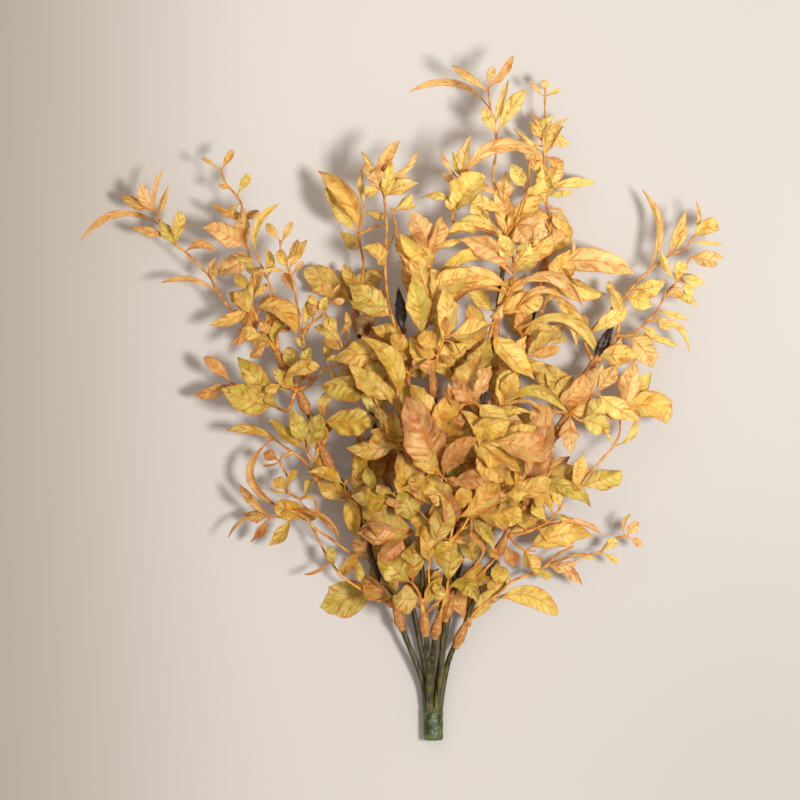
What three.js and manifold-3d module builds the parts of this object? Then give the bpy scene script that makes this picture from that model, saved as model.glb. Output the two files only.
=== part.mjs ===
// A bunch of artificial autumn foliage, laid down on a surface.
// Seven wired stems fan out of one moulded base stub. Leafy sprays are threaded on the stems: each spray
// is a moulded sleeve round its stem, with twigs growing out of it and leaves set on the twigs.
//
// Millimetres. +Y runs from the stub to the tips, +X to the right as the bunch is seen from above,
// +Z up from the surface that it lies on. The layout below is measured from the cut end of the stub.

import * as THREE from "three";
import { mergeVertices } from "three/addons/utils/BufferGeometryUtils.js";
import Module from "manifold-3d";

const wasm = await Module();
wasm.setup();

// ---------------------------------------------------------------- driving dimensions

const GAP = 0.35; // clear space kept between neighbouring pieces
const STUB_RADIUS = 6.5;
const STUB_LENGTH = 22;
const STUB_SIDES = 16;
const STEM_RADIUS = 1.8;
const STEM_SIDES = 6;
const STEM_RING = 4.1; // the six outer stems leave the stub on a ring of this radius
const TWIG_RADIUS = 1.2;
const TWIG_SIDES = 3;
const SLEEVE_LENGTH = 22;
const SLEEVE_RADIUS = 3.9;
const SLEEVE_END_RADIUS = 3.0;
const SLEEVE_SIDES = 6;
const TIP_LENGTH = 28;
const TIP_RADIUS = 4.2;
const TIP_SIDES = 8;
const LEAF_THICKNESS = 1.0;
const STALK_DEPTH = 0.6; // a leaf starts this far behind its twig's centre line
const LEAF_ARCH = 0.08; // a leaf's middle stands up by this share of its length
const ROLL_SWING = 0.35; // leaves are turned about their own length by up to this angle, in radians
const SPOON_LENGTH = 17; // a leaf shorter than this has the simplest outline
const STRAP_RATIO = 0.22; // a leaf narrower than this share of its length is a strap

// Colours of the leaves by tone: lime, golden, orange-brown, peach, dark mottled brown.
const LEAF_TONES = [0xc9b23c, 0xdfa437, 0xc97f2e, 0xd99a68, 0x9a6420];
const STEM_COLOUR = 0x3a3020;
const STUB_COLOUR = 0x2f3a22;
const TIP_COLOUR = 0x2a211a;

// ---------------------------------------------------------------- layout

// Each stem's centre line, as [x, y, z] points. The first point is on the stub's end face.
const STEM_FOOT = STUB_LENGTH + 3 * GAP; // the slanting stems clear the end face

function foot(degrees) {
  const angle = THREE.MathUtils.degToRad(degrees);
  return [STEM_RING * Math.cos(angle), STEM_FOOT, STUB_RADIUS + STEM_RING * Math.sin(angle)];
}

const STEMS = {
  a: [foot(180), [-7, 39, 9], [-19, 70, 16], [-27, 93, 20], [-34, 104, 22], [-53, 156, 27],
    [-70, 185, 29], [-86, 224, 30], [-107, 262, 28]],
  b: [foot(120), [-3, 44, 17], [-5, 69, 27], [-7, 94, 34], [-7.5, 114, 38], [-10, 145, 42],
    [-14, 181, 45], [-16, 221, 46], [-20, 265, 46]],
  c: [[0, STEM_FOOT, STUB_RADIUS], [-1, 45, 11], [1, 67, 21], [4, 84, 31], [8, 110, 46], [10, 140, 56],
    [7, 170, 62], [3, 200, 64], [-2, 244, 62]],
  d: [foot(60), [5, 43, 14], [6.5, 71, 20], [11, 92, 26], [14, 100, 28], [12, 117, 31], [14, 136, 34],
    [21, 161, 36], [29, 209, 38], [37, 250, 38], [42, 286, 37], [48, 328, 36], [51, 343, 34]],
  e: [foot(300), [4, 45, 5], [9, 75, 7], [14, 100, 8], [22, 130, 9], [33, 165, 10], [44, 200, 10],
    [56, 240, 10], [66, 280, 10], [74, 318, 9]],
  f: [foot(0), [9, 48, 10], [14, 62, 14], [19, 71, 17], [24, 86, 20], [31, 100, 22], [40, 118, 24],
    [47, 133, 25], [60, 155, 26], [68, 176, 27], [81, 201, 28], [91, 220, 28], [104, 246, 28]],
  g: [foot(240), [-6, 50, 4.5], [-12, 80, 7], [-18, 110, 9], [-26, 145, 10], [-34, 185, 11],
    [-42, 225, 11], [-48, 262, 11], [-52, 290, 11]],
};
const STEM_STEPS = 12;
const SIMPLIFY = 0.05; // corners closer together than this are merged in a finished spray
const TWIG_STEP = 17; // length of one straight stretch of a twig
const JOIN_REACH = 3; // a twig that starts this near to an earlier twig grows out of it
const TIPPED_STEMS = ["b", "f"];

// A spray is threaded on its stem at the distance "at" along Y.
// A twig is [height of its end, x, y, x, y, ...]: a route in plan from the sleeve or from an earlier twig.
// A leaf is [x, y, tip x, tip y, width, bend, rise, tone]: it leaves the nearest twig, bows sideways by
// "bend" times its length, to the left if positive, and its tip is "rise" above its foot.
const sprays = [];

function spray(name, stem, at, twigs, leaves) {
  sprays.push({ name, stem, at, twigs, leaves });
}

// ---- stem a: the left stem
spray("a1", "a", 82, [
  [20, -27, 93, -36, 100],
  [24, -27, 93, -54, 103, -67, 117, -77, 136, -84, 144, -107, 145],
], [
  [-36, 99, -73, 86, 25, 0.02, -60, 0],
  [-35, 100, -25, 110, 11, 0, 6, 0],
  [-67, 117, -83, 108, 2.4, 0.12, 2, 2],
  [-62, 112, -66, 126, 7, 0.1, 5, 0],
  [-58, 107, -49, 122, 8, 0.1, 8, 1],
  [-82, 141, -103, 151, 15, -0.1, 8, 1],
  [-92, 144, -106, 127, 9, 0.1, -4, 1],
  [-105, 145, -125, 166, 6, 0.03, 5, 2],
  [-106, 145, -123, 147, 8, 0, -3, 2],
  [-106, 145, -132, 132, 2.4, -0.2, 0, 2],
  [-105, 145, -118, 129, 6, 0, -5, 2],
]);
spray("a2", "a", 152, [
  [26, -54, 158, -62, 157, -70, 163, -77, 171, -83, 181, -91, 187, -97, 191, -103, 196],
  [22, -91, 187, -97, 184, -99, 181, -96, 175, -94, 170, -95, 162],
  [22, -95, 162, -87, 157, -82, 158, -77, 157, -75, 149],
  [42, -55, 160, -57, 167, -50, 172, -46, 181, -42, 187],
], [
  [-55, 160, -50, 133, 11, 0.05, 8, 1],
  [-57, 166, -80, 174, 9, -0.1, 8, 1],
  [-52, 171, -51, 185, 7, -0.2, 5, 1],
  [-97, 192, -133, 201, 6, -0.12, 2, 1],
  [-103, 196, -100, 152, 6, -0.38, -4, 2],
  [-99, 181, -109, 187, 8, 0, 4, 2],
  [-99, 181, -110, 178, 2.4, 0.1, 0, 2],
  [-95, 162, -102, 170, 9, 0, 3, 1],
  [-95, 163, -88, 175, 5.5, 0.1, 5, 1],
  [-94, 161, -105, 163, 2.4, 0.1, 0, 1],
  [-83, 158, -78, 169, 8, 0, 6, 0],
]);
spray("a3", "a", 185, [
  [36, -72, 194, -68, 199, -72, 206, -73, 211],
  [34, -69, 188, -77, 181, -81, 186, -82, 193],
], [
  [-72, 208, -35, 208, 19, -0.05, 8, 1],
  [-72, 210, -61, 227, 7, 0.18, 6, 1],
  [-81, 186, -73, 211, 15, 0, 12, 0],
  [-81, 189, -107, 209, 9, 0.05, 6, 0],
  [-82, 192, -92, 215, 12, 0, 12, 0],
]);
spray("a4", "a", 221, [
  [38, -87, 226, -93, 229, -98, 232],
  [26, -85, 218, -94, 214, -104, 217, -120, 226, -131, 232],
  [52, -84, 220, -79, 231, -82, 243, -84, 262, -88, 285, -91, 300, -97, 311, -98, 322],
  [44, -79, 231, -70, 240, -57, 244],
  [52, -84, 264, -78, 270, -70, 276, -68, 283],
], [
  [-104, 217, -136, 228, 17, 0.05, 8, 0],
  [-105, 217, -126, 248, 15, -0.05, 12, 0],
  [-104, 216, -119, 217, 9, 0.1, 2, 0],
  [-130, 231, -148, 248, 9, -0.05, 4, 2],
  [-130, 231, -155, 224, 9, 0.06, -6, 2],
  [-97, 231, -73, 242, 10, 0.15, 10, 1],
  [-97, 231, -108, 226, 8, 0, 4, 1],
  [-57, 244, -36, 239, 9, 0.12, 4, 0],
  [-98, 322, -107, 333, 5.5, 0, 4, 2],
  [-97, 320, -90, 334, 5, 0, 6, 2],
  [-95, 309, -87, 323, 6, -0.1, 5, 2],
  [-91, 300, -83, 309, 4, 0, 4, 2],
  [-93, 302, -99, 316, 7, 0, 6, 1],
  [-92, 301, -113, 302, 2.4, -0.1, 2, 1],
  [-68, 283, -69, 297, 7, 0, 5, 2],
  [-68, 283, -60, 294, 2.6, 0, 4, 2],
  [-68, 282, -57, 284, 5, 0, 3, 2],
  [-69, 281, -80, 287, 5, 0.1, 2, 1],
  [-82, 267, -80, 285, 7, 0, 3, 1],
  [-70, 277, -64, 265, 8, 0, 6, 1],
]);
spray("a5", "a", 247, [
  [30, -104, 256, -112, 270, -117, 283, -115, 296, -119, 316, -123, 338, -124, 348, -134, 361, -137, 370],
  [22, -112, 270, -118, 276, -130, 279, -138, 289, -145, 301, -160, 316, -166, 320, -174, 331, -180, 342],
  [40, -104, 262, -101, 280, -106, 297, -113, 312],
], [
  [-138, 289, -175, 296, 4, -0.15, -4, 2],
  [-145, 301, -140, 312, 2.4, 0.1, 2, 2],
  [-160, 316, -140, 317, 6, 0.18, 4, 2],
  [-166, 320, -176, 338, 9, 0, 4, 0],
  [-166, 320, -163, 342, 9, 0, 7, 0],
  [-170, 326, -195, 332, 6, 0, 2, 2],
  [-175, 332, -229, 324, 5, -0.25, -60, 2],
  [-180, 342, -203, 353, 7, 0, -2, 2],
  [-180, 342, -188, 361, 9, 0.1, 6, 3],
  [-179, 341, -174, 369, 3, 0.1, 6, 2],
  [-178, 338, -171, 358, 5, 0, 4, 2],
  [-136, 369, -149, 376, 3, 0, 1, 2],
  [-136, 368, -129, 381, 5, 0, 3, 2],
  [-130, 356, -138, 359, 4, 0, 2, 2],
  [-126, 352, -119, 366, 6, 0, 4, 0],
  [-124, 348, -134, 338, 6, 0, -2, 0],
  [-123, 335, -143, 346, 4, 0, 0, 2],
  [-119, 318, -123, 346, 9, 0.05, 8, 2],
  [-119, 317, -148, 331, 13, -0.08, 6, 3],
  [-119, 314, -140, 303, 15, 0.1, 2, 3],
  [-113, 312, -99, 346, 5, 0.2, 8, 1],
  [-117, 283, -127, 287, 4, 0, 1, 2],
  [-116, 285, -107, 295, 5, 0, 4, 1],
  [-115, 281, -88, 262, 13, 0.2, 10, 1],
  [-116, 281, -131, 256, 12, 0.1, 4, 2],
  [-117, 282, -144, 269, 8, 0.1, 0, 1],
  [-108, 262, -124, 264, 8, 0, 6, 1],
  [-106, 258, -118, 248, 7, 0, 2, 2],
]);
// ---- stem g: the rear stem, left of the middle
spray("g1", "g", 108, [
  [32, -19, 114, -35, 116, -52, 121, -66, 131, -77, 138, -83, 145, -93, 150],
], [
  [-92, 150, -60, 129, 5, 0.2, 4, 2],
  [-50, 121, -48, 104, 8, 0.05, 4, 1],
  [-42, 118, -37, 103, 8, 0.05, -2, 1],
  [-36, 116, -48, 137, 15, 0.1, 14, 3],
  [-30, 115, -33, 141, 16, 0, 16, 1],
  [-26, 114, -32, 98, 10, 0, -60, 0],
]);
spray("g2", "g", 165, [
  [46, -32, 172, -38, 172, -44, 182, -40, 190],
  [40, -36, 171, -39, 162, -36, 153, -32, 146, -31, 133],
], [
  [-40, 190, -38, 199, 7, 0, 5, 1],
  [-43, 186, -48, 191, 3, 0, 2, 2],
  [-42, 185, -28, 193, 9, 0, 4, 3],
  [-43, 180, -40, 165, 9, 0, 6, 0],
  [-38, 173, -20, 184, 9, 0.1, 6, 2],
  [-38, 171, -17, 174, 17, 0.1, 8, 2],
  [-39, 163, -43, 153, 4, 0, 4, 1],
  [-38, 160, -33, 151, 6, 0, 6, 1],
  [-38, 164, -25, 158, 8, 0, 5, 0],
  [-32, 146, -45, 142, 5, 0.1, 3, 1],
]);
spray("g3", "g", 228, [
  [40, -43, 238, -36, 243, -36, 256],
  [30, -44, 238, -52, 246, -55, 256, -54, 264],
], [
  [-36, 242, -51, 244, 7, -0.15, 2, 2],
  [-36, 252, -46, 253, 2.4, 0.15, 2, 1],
  [-36, 256, -46, 261, 5, 0, 4, 1],
  [-54, 262, -56, 277, 4, 0, 4, 1],
  [-54, 256, -69, 257, 4.5, 0.1, 2, 1],
]);
spray("g4", "g", 274, [
  [36, -50, 282, -43, 284, -46, 297, -45, 309, -48, 327, -44, 343],
  [34, -48, 327, -40, 331, -33, 333],
  [32, -49, 278, -42, 276, -36, 277],
], [
  [-37, 277, -50, 263, 16, 0, 6, 4],
  [-40, 277, -31, 292, 6, 0, 5, 2],
  [-44, 286, -58, 308, 9, 0.05, 4, 1],
  [-45, 302, -31, 297, 3, 0.2, 2, 1],
  [-48, 327, -74, 368, 13, -0.15, 4, 1],
  [-44, 343, -46, 368, 4, 0.05, 6, 1],
  [-44, 341, -32, 337, 5, 0.1, 2, 0],
  [-46, 318, -60, 330, 9, 0, -60, 1],
]);
// ---- stem b: the stem left of the middle, ending in a bare tip
spray("b1", "b", 79, [
  [44, -8, 90, -9, 96, -14, 104],
  [50, -5, 90, -3, 100, -3, 115, 1, 125],
], [
  [-9, 94, -26, 95, 19, 0.1, 8, 0],
  [-14, 103, -12, 131, 17, 0, 8, 0],
  [-13, 103, -33, 128, 17, 0.1, 2, 0],
  [-3, 115, -7, 142, 12, 0, 10, 1],
  [1, 124, 15, 158, 16, 0.08, 16, 0],
  [-3, 106, 5, 109, 5, 0, 3, 0],
]);
spray("b2", "b", 128, [
  [60, -9, 140, -14, 150, -22, 156, -26, 161],
  [50, -11, 136, -20, 133, -31, 133],
], [
  [-12, 142, -22, 163, 18, 0, 12, 0],
  [-26, 161, -2, 154, 8, 0.28, 6, 1],
  [-20, 133, -47, 138, 13, -0.1, 6, 3],
  [-18, 133, -35, 118, 14, 0, 2, 3],
  [-14, 149, -5, 168, 11, 0, 10, 2],
  [-26, 160, -36, 167, 8, 0, 4, 0],
]);
spray("b3", "b", 178, [
  [52, -16, 188, -22, 194, -30, 205, -38, 222, -49, 238, -56, 248, -61, 262],
  [60, -14, 190, -20, 206, -22, 220],
], [
  [-22, 220, -54, 243, 15, 0.05, 8, 0],
  [-22, 222, -46, 260, 13, -0.18, 14, 1],
  [-21, 193, -34, 214, 5, 0.05, 3, 0],
  [-57, 250, -68, 246, 4, 0, 2, 1],
  [-61, 262, -66, 272, 5, 0, 3, 1],
  [-61, 261, -53, 271, 4, 0, 3, 2],
  [-15, 190, -4, 202, 12, 0, 8, 2],
]);
spray("b4", "b", 228, [
  [62, -17, 240, -12, 248, -8, 259, -5, 271, 0, 284],
  [58, -17, 238, -26, 244, -30, 252],
], [
  [-15, 243, 14, 229, 9, 0.25, 8, 1],
  [-14, 243, -27, 262, 13, 0, 12, 1],
  [-11, 249, 5, 262, 13, 0, 10, 0],
  [-10, 251, 7, 244, 13, 0.1, 4, 0],
  [-8, 258, -14, 296, 15, -0.05, 10, 0],
  [-5, 272, 8, 284, 13, 0, 10, 0],
  [-26, 244, -15, 228, 11, 0, 8, 2],
  [-30, 252, -40, 247, 8, 0, 4, 1],
]);
spray("b5", "b", 250, [
  [46, -20, 258, -26, 272, -30, 292, -31, 310, -30, 332, -32, 352, -34, 362],
  [50, -30, 318, -24, 329, -27, 343],
  [50, -14, 262, -3, 270, -2, 290, -1, 313],
], [
  [-34, 360, -22, 386, 9, 0.1, 8, 3],
  [-33, 358, -10, 381, 5, -0.1, 4, 2],
  [-34, 362, -46, 379, 3, 0, 4, 1],
  [-32, 352, -46, 370, 9, -0.1, 6, 3],
  [-32, 352, -38, 367, 12, 0, 10, 3],
  [-32, 350, -10, 359, 9, 0.1, 8, 1],
  [-32, 350, -16, 364, 8, 0, 3, 3],
  [-27, 342, -11, 345, 6, 0, 4, 1],
  [-31, 348, -27, 373, 9, 0, 12, 1],
  [-33, 356, -44, 352, 8, 0, 3, 1],
  [-27, 340, -14, 352, 8, 0, 6, 1],
  [-31, 306, -46, 317, 13, -0.1, 6, 1],
  [-1, 310, -21, 326, 10, 0.1, 12, 1],
  [-2, 298, -23, 309, 9, 0, 6, 0],
  [-2, 296, -25, 320, 10, 0, 2, 2],
  [-1, 313, -14, 341, 16, 0, 14, 3],
  [-1, 313, 5, 338, 12, 0, 10, 2],
  [-1, 312, 17, 322, 5, 0.15, 4, 1],
  [-2, 288, 12, 294, 9, 0.1, 6, 2],
]);
// ---- stem c: the front stem
spray("c1", "c", 76, [
  [46, 5, 88, 8, 97, 9, 104],
], [
  [9, 103, 12, 134, 19, 0, 8, 0],
  [8, 100, 28, 91, 12, 0.35, 4, 0],
  [7, 95, -4, 84, 2.6, 0, -2, 2],
  [6, 92, 1, 104, 7, 0, 5, 0],
]);
spray("c2", "c", 122, [
  [68, 10, 134, 13, 150, 10, 166, 4, 173],
  [62, 11, 130, 19, 140, 24, 150],
], [
  [4, 173, -17, 223, 27, 0, 12, 3],
  [6, 172, 28, 196, 14, 0.15, 10, 3],
  [10, 166, 36, 169, 13, 0.12, 6, 3],
  [6, 171, 15, 166, 7, 0.1, 3, 3],
  [22, 147, 31, 124, 13, 0.1, 6, 2],
  [24, 150, 50, 152, 18, -0.1, 8, 1],
  [22, 146, 38, 126, 8, 0.1, 12, 0],
  [12, 152, -6, 168, 10, 0, 4, 2],
  [13, 148, 22, 165, 11, 0, 8, 1],
]);
spray("c3", "c", 186, [
  [76, 5, 196, 9, 208, 16, 217, 26, 219],
  [72, 6, 194, 20, 197, 34, 193],
], [
  [34, 193, 71, 184, 19, 0.08, 4, 3],
  [22, 197, 48, 207, 14, 0.1, 4, 1],
  [9, 207, -14, 230, 14, 0.1, 6, 1],
  [26, 219, 36, 242, 9, 0.05, 8, 3],
  [24, 219, 12, 233, 12, 0, 6, 3],
  [14, 215, 29, 190, 8, 0.2, 6, 1],
  [8, 200, 18, 213, 9, 0, 4, 2],
  [5, 196, -5, 212, 9, 0, -6, 2],
]);
spray("c4", "c", 232, [
  [72, 0, 244, 4, 254, 8, 262],
], [
  [8, 262, 6, 273, 7, 0, 4, 2],
  [6, 258, 17, 250, 3, 0.2, 3, 1],
  [2, 250, 13, 245, 7, 0, 4, 2],
  [1, 247, -6, 238, 11, 0, 6, 2],
  [3, 252, -9, 262, 12, 0, 6, 1],
]);
// ---- stem d: the longest stem, right of the middle
spray("d1", "d", 88, [
  [30, 14, 98, 22, 107, 31, 120, 36, 133],
  [24, 14, 96, 28, 106, 44, 124, 47, 138],
], [
  [36, 132, 38, 158, 8, 0.1, 10, 0],
  [45, 128, 53, 114, 9, 0, 2, 3],
  [27, 114, 18, 141, 14, 0, 10, 0],
  [33, 125, 41, 121, 6, 0, 3, 1],
  [24, 104, 36, 96, 8, 0, -60, 0],
]);
spray("d2", "d", 150, [
  [54, 22, 161, 30, 166, 36, 173, 36, 181],
  [44, 23, 160, 34, 161, 44, 158],
], [
  [36, 177, 57, 171, 14, 0.1, 6, 1],
  [44, 158, 52, 141, 15, 0, 8, 1],
  [44, 158, 54, 181, 14, 0, 12, 1],
  [36, 180, 45, 203, 12, 0, 8, 1],
  [40, 159, 61, 161, 11, 0.1, 4, 1],
  [32, 168, 20, 184, 11, 0, 6, 2],
]);
spray("d3", "d", 202, [
  [52, 31, 213, 36, 212, 41, 212, 45, 219],
  [44, 31, 216, 25, 228, 21, 241],
], [
  [42, 213, 86, 213, 8, 0.32, 6, 0],
  [43, 214, 73, 210, 2.6, 0.25, 3, 2],
  [42, 212, 62, 212, 3, 0.1, 2, 1],
  [28, 222, 33, 246, 13, 0, 8, 1],
  [23, 235, 9, 248, 12, 0, 8, 1],
  [21, 240, 29, 256, 12, 0, 6, 1],
  [38, 212, 56, 203, 12, 0, 2, 3],
  [45, 219, 52, 238, 13, 0, 8, 1],
]);
spray("d4", "d", 268, [
  [50, 44, 280, 50, 290, 51, 301, 51, 312],
  [44, 44, 276, 51, 277, 62, 285, 72, 292],
  [46, 39, 262, 34, 256, 27, 256],
], [
  [50, 291, 2, 289, 14, -0.2, 8, 1],
  [49, 288, 3, 271, 7, -0.25, 4, 2],
  [51, 303, 16, 323, 16, -0.12, 8, 3],
  [51, 300, 3, 300, 9, -0.28, 4, 1],
  [51, 306, 62, 320, 11, 0, 10, 1],
  [51, 302, 68, 318, 13, 0, 4, 0],
  [51, 291, 95, 281, 9, 0.3, 8, 3],
  [53, 279, 84, 286, 5, 0.28, 3, 2],
  [30, 256, 23, 282, 14, 0, 8, 1],
  [34, 256, 14, 260, 12, 0, 4, 1],
  [51, 310, 42, 326, 12, 0, 8, 1],
  [46, 284, 36, 274, 9, 0, 2, 2],
]);
spray("d5", "d", 315, [
  [42, 48, 328, 46, 342, 40, 355, 38, 365, 40, 378, 40, 390, 37, 405, 35, 420],
  [50, 48, 326, 54, 336, 58, 346, 58, 358],
  [48, 45, 324, 30, 330, 13, 334, 14, 350, 18, 362],
], [
  [40, 390, 32, 408, 8, 0, 4, 1],
  [40, 389, 59, 419, 10, 0.05, 8, 0],
  [39, 396, 48, 425, 6, 0, 6, 1],
  [37, 406, -15, 421, 5, -0.24, -60, 2],
  [35, 418, 12, 435, 5, 0, 2, 2],
  [35, 420, 38, 434, 6, 0, 6, 3],
  [35, 420, 51, 441, 5, -0.05, 4, 2],
  [44, 346, 46, 367, 12, 0, 8, 3],
  [52, 333, 73, 326, 17, 0.1, 8, 3],
  [52, 333, 63, 319, 14, 0, 4, 3],
  [42, 350, 9, 361, 8, -0.12, 5, 3],
  [46, 340, 22, 352, 9, 0, 6, 1],
  [42, 325, 12, 331, 8, -0.22, 8, 0],
  [36, 328, 24, 346, 12, 0, 6, 0],
  [18, 362, 68, 377, 11, 0.25, 6, 3],
  [18, 361, 24, 389, 9, 0.05, 8, 3],
  [17, 361, 5, 380, 3, 0.1, 4, 2],
  [16, 358, 6, 366, 5, 0, 2, 2],
  [18, 362, 12, 379, 7, 0, 5, 0],
  [14, 352, 8, 344, 8, 0.1, 3, 1],
  [16, 357, 33, 363, 9, 0, 5, 1],
  [58, 356, 50, 371, 10, 0, 6, 0],
  [58, 350, 70, 362, 11, 0, 6, 1],
  [14, 346, -8, 350, 6, -0.15, 3, 0],
]);
// ---- stem e: the rear stem, right of the middle
spray("e1", "e", 138, [
  [26, 28, 148, 38, 150, 50, 156, 58, 166],
], [
  [56, 163, 75, 211, 17, -0.05, 8, 3],
  [50, 156, 62, 145, 10, 0, 4, 1],
  [56, 164, 88, 184, 15, 0, 4, 3],
  [42, 152, 34, 136, 11, 0, -60, 1],
]);
spray("e2", "e", 196, [
  [30, 45, 208, 52, 222, 55, 238, 60, 248],
  [26, 55, 238, 50, 250, 48, 262],
], [
  [60, 248, 81, 254, 8, 0, 4, 2],
  [57, 243, 67, 245, 8, 0, 4, 1],
  [59, 247, 80, 263, 11, 0.1, 6, 1],
  [56, 240, 72, 240, 8, 0.1, 3, 1],
  [54, 236, 42, 252, 14, 0, 8, 1],
  [54, 232, 38, 236, 13, 0, 6, 1],
  [52, 244, 60, 262, 10, 0, 5, 1],
  [48, 214, 70, 196, 15, 0, -60, 1],
]);
spray("e3", "e", 250, [
  [28, 61, 261, 56, 264, 52, 268],
  [26, 62, 262, 70, 278, 75, 293, 74, 306, 84, 307, 92, 310],
], [
  [54, 265, 107, 248, 8, 0.3, 8, 0],
  [58, 263, 80, 262, 12, 0.15, 4, 1],
  [76, 306, 129, 302, 18, 0.1, 8, 3],
  [74, 301, 112, 289, 16, -0.05, 4, 1],
  [90, 309, 91, 323, 2.4, 0, 4, 2],
  [74, 290, 92, 256, 10, 0.15, 8, 1],
  [72, 283, 83, 293, 8, 0, 4, 1],
  [66, 270, 86, 258, 12, 0, -60, 1],
]);
spray("e4", "e", 304, [
  [24, 73, 316, 76, 335, 73, 350, 72, 372, 71, 390, 72, 405, 72, 417],
  [32, 75, 330, 68, 345, 62, 360, 62, 375],
], [
  [72, 417, 73, 427, 7, 0, 4, 3],
  [72, 416, 63, 426, 3, 0.1, 2, 2],
  [72, 416, 82, 421, 3, 0, 2, 1],
  [71, 388, 76, 405, 8, 0.1, 6, 0],
  [71, 386, 62, 400, 7, 0, 6, 1],
  [71, 384, 52, 396, 3, 0.1, 2, 1],
  [71, 391, 64, 405, 3, 0, 3, 2],
  [71, 389, 87, 402, 3, 0.1, 3, 2],
  [72, 375, 84, 397, 9, 0.15, 4, 2],
  [72, 378, 84, 371, 8, 0, 3, 2],
  [71, 380, 74, 399, 9, 0, 9, 1],
  [62, 375, 60, 388, 8, 0, 6, 1],
  [72, 370, 60, 380, 8, 0, 4, 3],
  [73, 357, 105, 361, 7, 0.05, 2, 1],
  [73, 352, 90, 355, 5, 0, 2, 0],
  [75, 344, 85, 342, 3, 0.1, 1, 2],
  [72, 361, 61, 374, 11, 0, 8, 1],
  [73, 356, 82, 373, 11, 0, 6, 1],
  [73, 346, 64, 358, 12, 0, 8, 0],
  [75, 342, 84, 332, 11, 0.1, 5, 1],
  [75, 338, 57, 342, 11, 0, 6, 1],
  [76, 333, 82, 323, 10, 0.1, 4, 3],
  [73, 350, 71, 370, 12, 0, 12, 0],
  [72, 395, 88, 386, 8, 0, -60, 1],
]);
// ---- stem f: the right stem, ending in a bare tip
spray("f1", "f", 70, [
  [22, 20, 80, 27, 84, 40, 94, 52, 104, 63, 108, 72, 113, 90, 120, 107, 122, 112, 128, 120, 132, 125, 132],
  [26, 72, 113, 80, 121, 90, 126],
  [16, 27, 84, 33, 89, 40, 90],
], [
  [39, 90, 81, 80, 15, 0.2, -60, 1],
  [51, 103, 38, 112, 11, 0, 6, 1],
  [63, 108, 76, 106, 6, 0.1, 1, 0],
  [73, 114, 93, 118, 9, -0.1, 2, 3],
  [76, 114, 96, 101, 8, 0.12, -3, 3],
  [92, 121, 104, 118, 2.6, 0, 0, 1],
  [107, 122, 119, 115, 4, 0.1, 0, 1],
  [108, 123, 118, 131, 7, 0, 3, 1],
  [125, 132, 133, 140, 9, 0.2, 4, 3],
  [125, 132, 134, 126, 5, 0.1, 0, 3],
  [124, 132, 127, 147, 2.6, 0.2, 3, 2],
]);
spray("f2", "f", 128, [
  [34, 50, 136, 58, 135, 72, 141, 80, 149, 84, 155],
  [28, 48, 134, 56, 125, 66, 123],
], [
  [60, 124, 103, 133, 18, 0.12, 6, 1],
  [58, 124, 66, 107, 14, 0, 4, 1],
  [72, 141, 108, 134, 5, 0.12, 3, 3],
  [73, 142, 64, 155, 10, 0, 5, 1],
  [60, 136, 54, 149, 8, 0, 5, 0],
  [66, 139, 85, 129, 11, 0, 2, 1],
  [78, 147, 90, 144, 7, 0, 3, 1],
]);
spray("f3", "f", 160, [
  [38, 67, 170, 74, 163, 84, 162, 93, 163],
  [28, 93, 163, 98, 170, 108, 182, 116, 191, 120, 200, 120, 209],
], [
  [72, 165, 101, 152, 12, 0.2, 6, 0],
  [70, 168, 90, 157, 12, 0.25, 12, 0],
  [76, 163, 66, 152, 9, 0, 6, 1],
  [93, 163, 96, 187, 12, 0.1, 6, 1],
  [94, 164, 121, 175, 16, 0, 2, 0],
  [116, 191, 130, 208, 5, -0.2, 4, 0],
  [116, 191, 109, 202, 3, 0, 3, 1],
  [120, 208, 130, 247, 15, 0, 10, 3],
  [120, 209, 151, 206, 19, 0.32, 6, 1],
  [120, 209, 140, 238, 14, 0, 2, 0],
  [120, 208, 107, 219, 9, 0, 4, 3],
]);
spray("f4", "f", 206, [
  [38, 90, 215, 97, 221, 105, 225],
  [32, 88, 212, 96, 207, 108, 213],
  [34, 84, 206, 78, 214, 76, 226],
], [
  [97, 208, 111, 222, 14, 0, 8, 0],
  [94, 208, 113, 200, 14, 0.1, 2, 0],
  [80, 212, 62, 209, 16, 0, 6, 3],
  [100, 222, 108, 244, 13, 0, 6, 3],
  [105, 225, 116, 242, 12, 0, 6, 3],
  [76, 226, 85, 237, 5, 0, 2, 2],
  [77, 218, 90, 235, 10, 0.1, 6, 0],
  [88, 210, 89, 186, 13, 0, 8, 3],
]);
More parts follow.
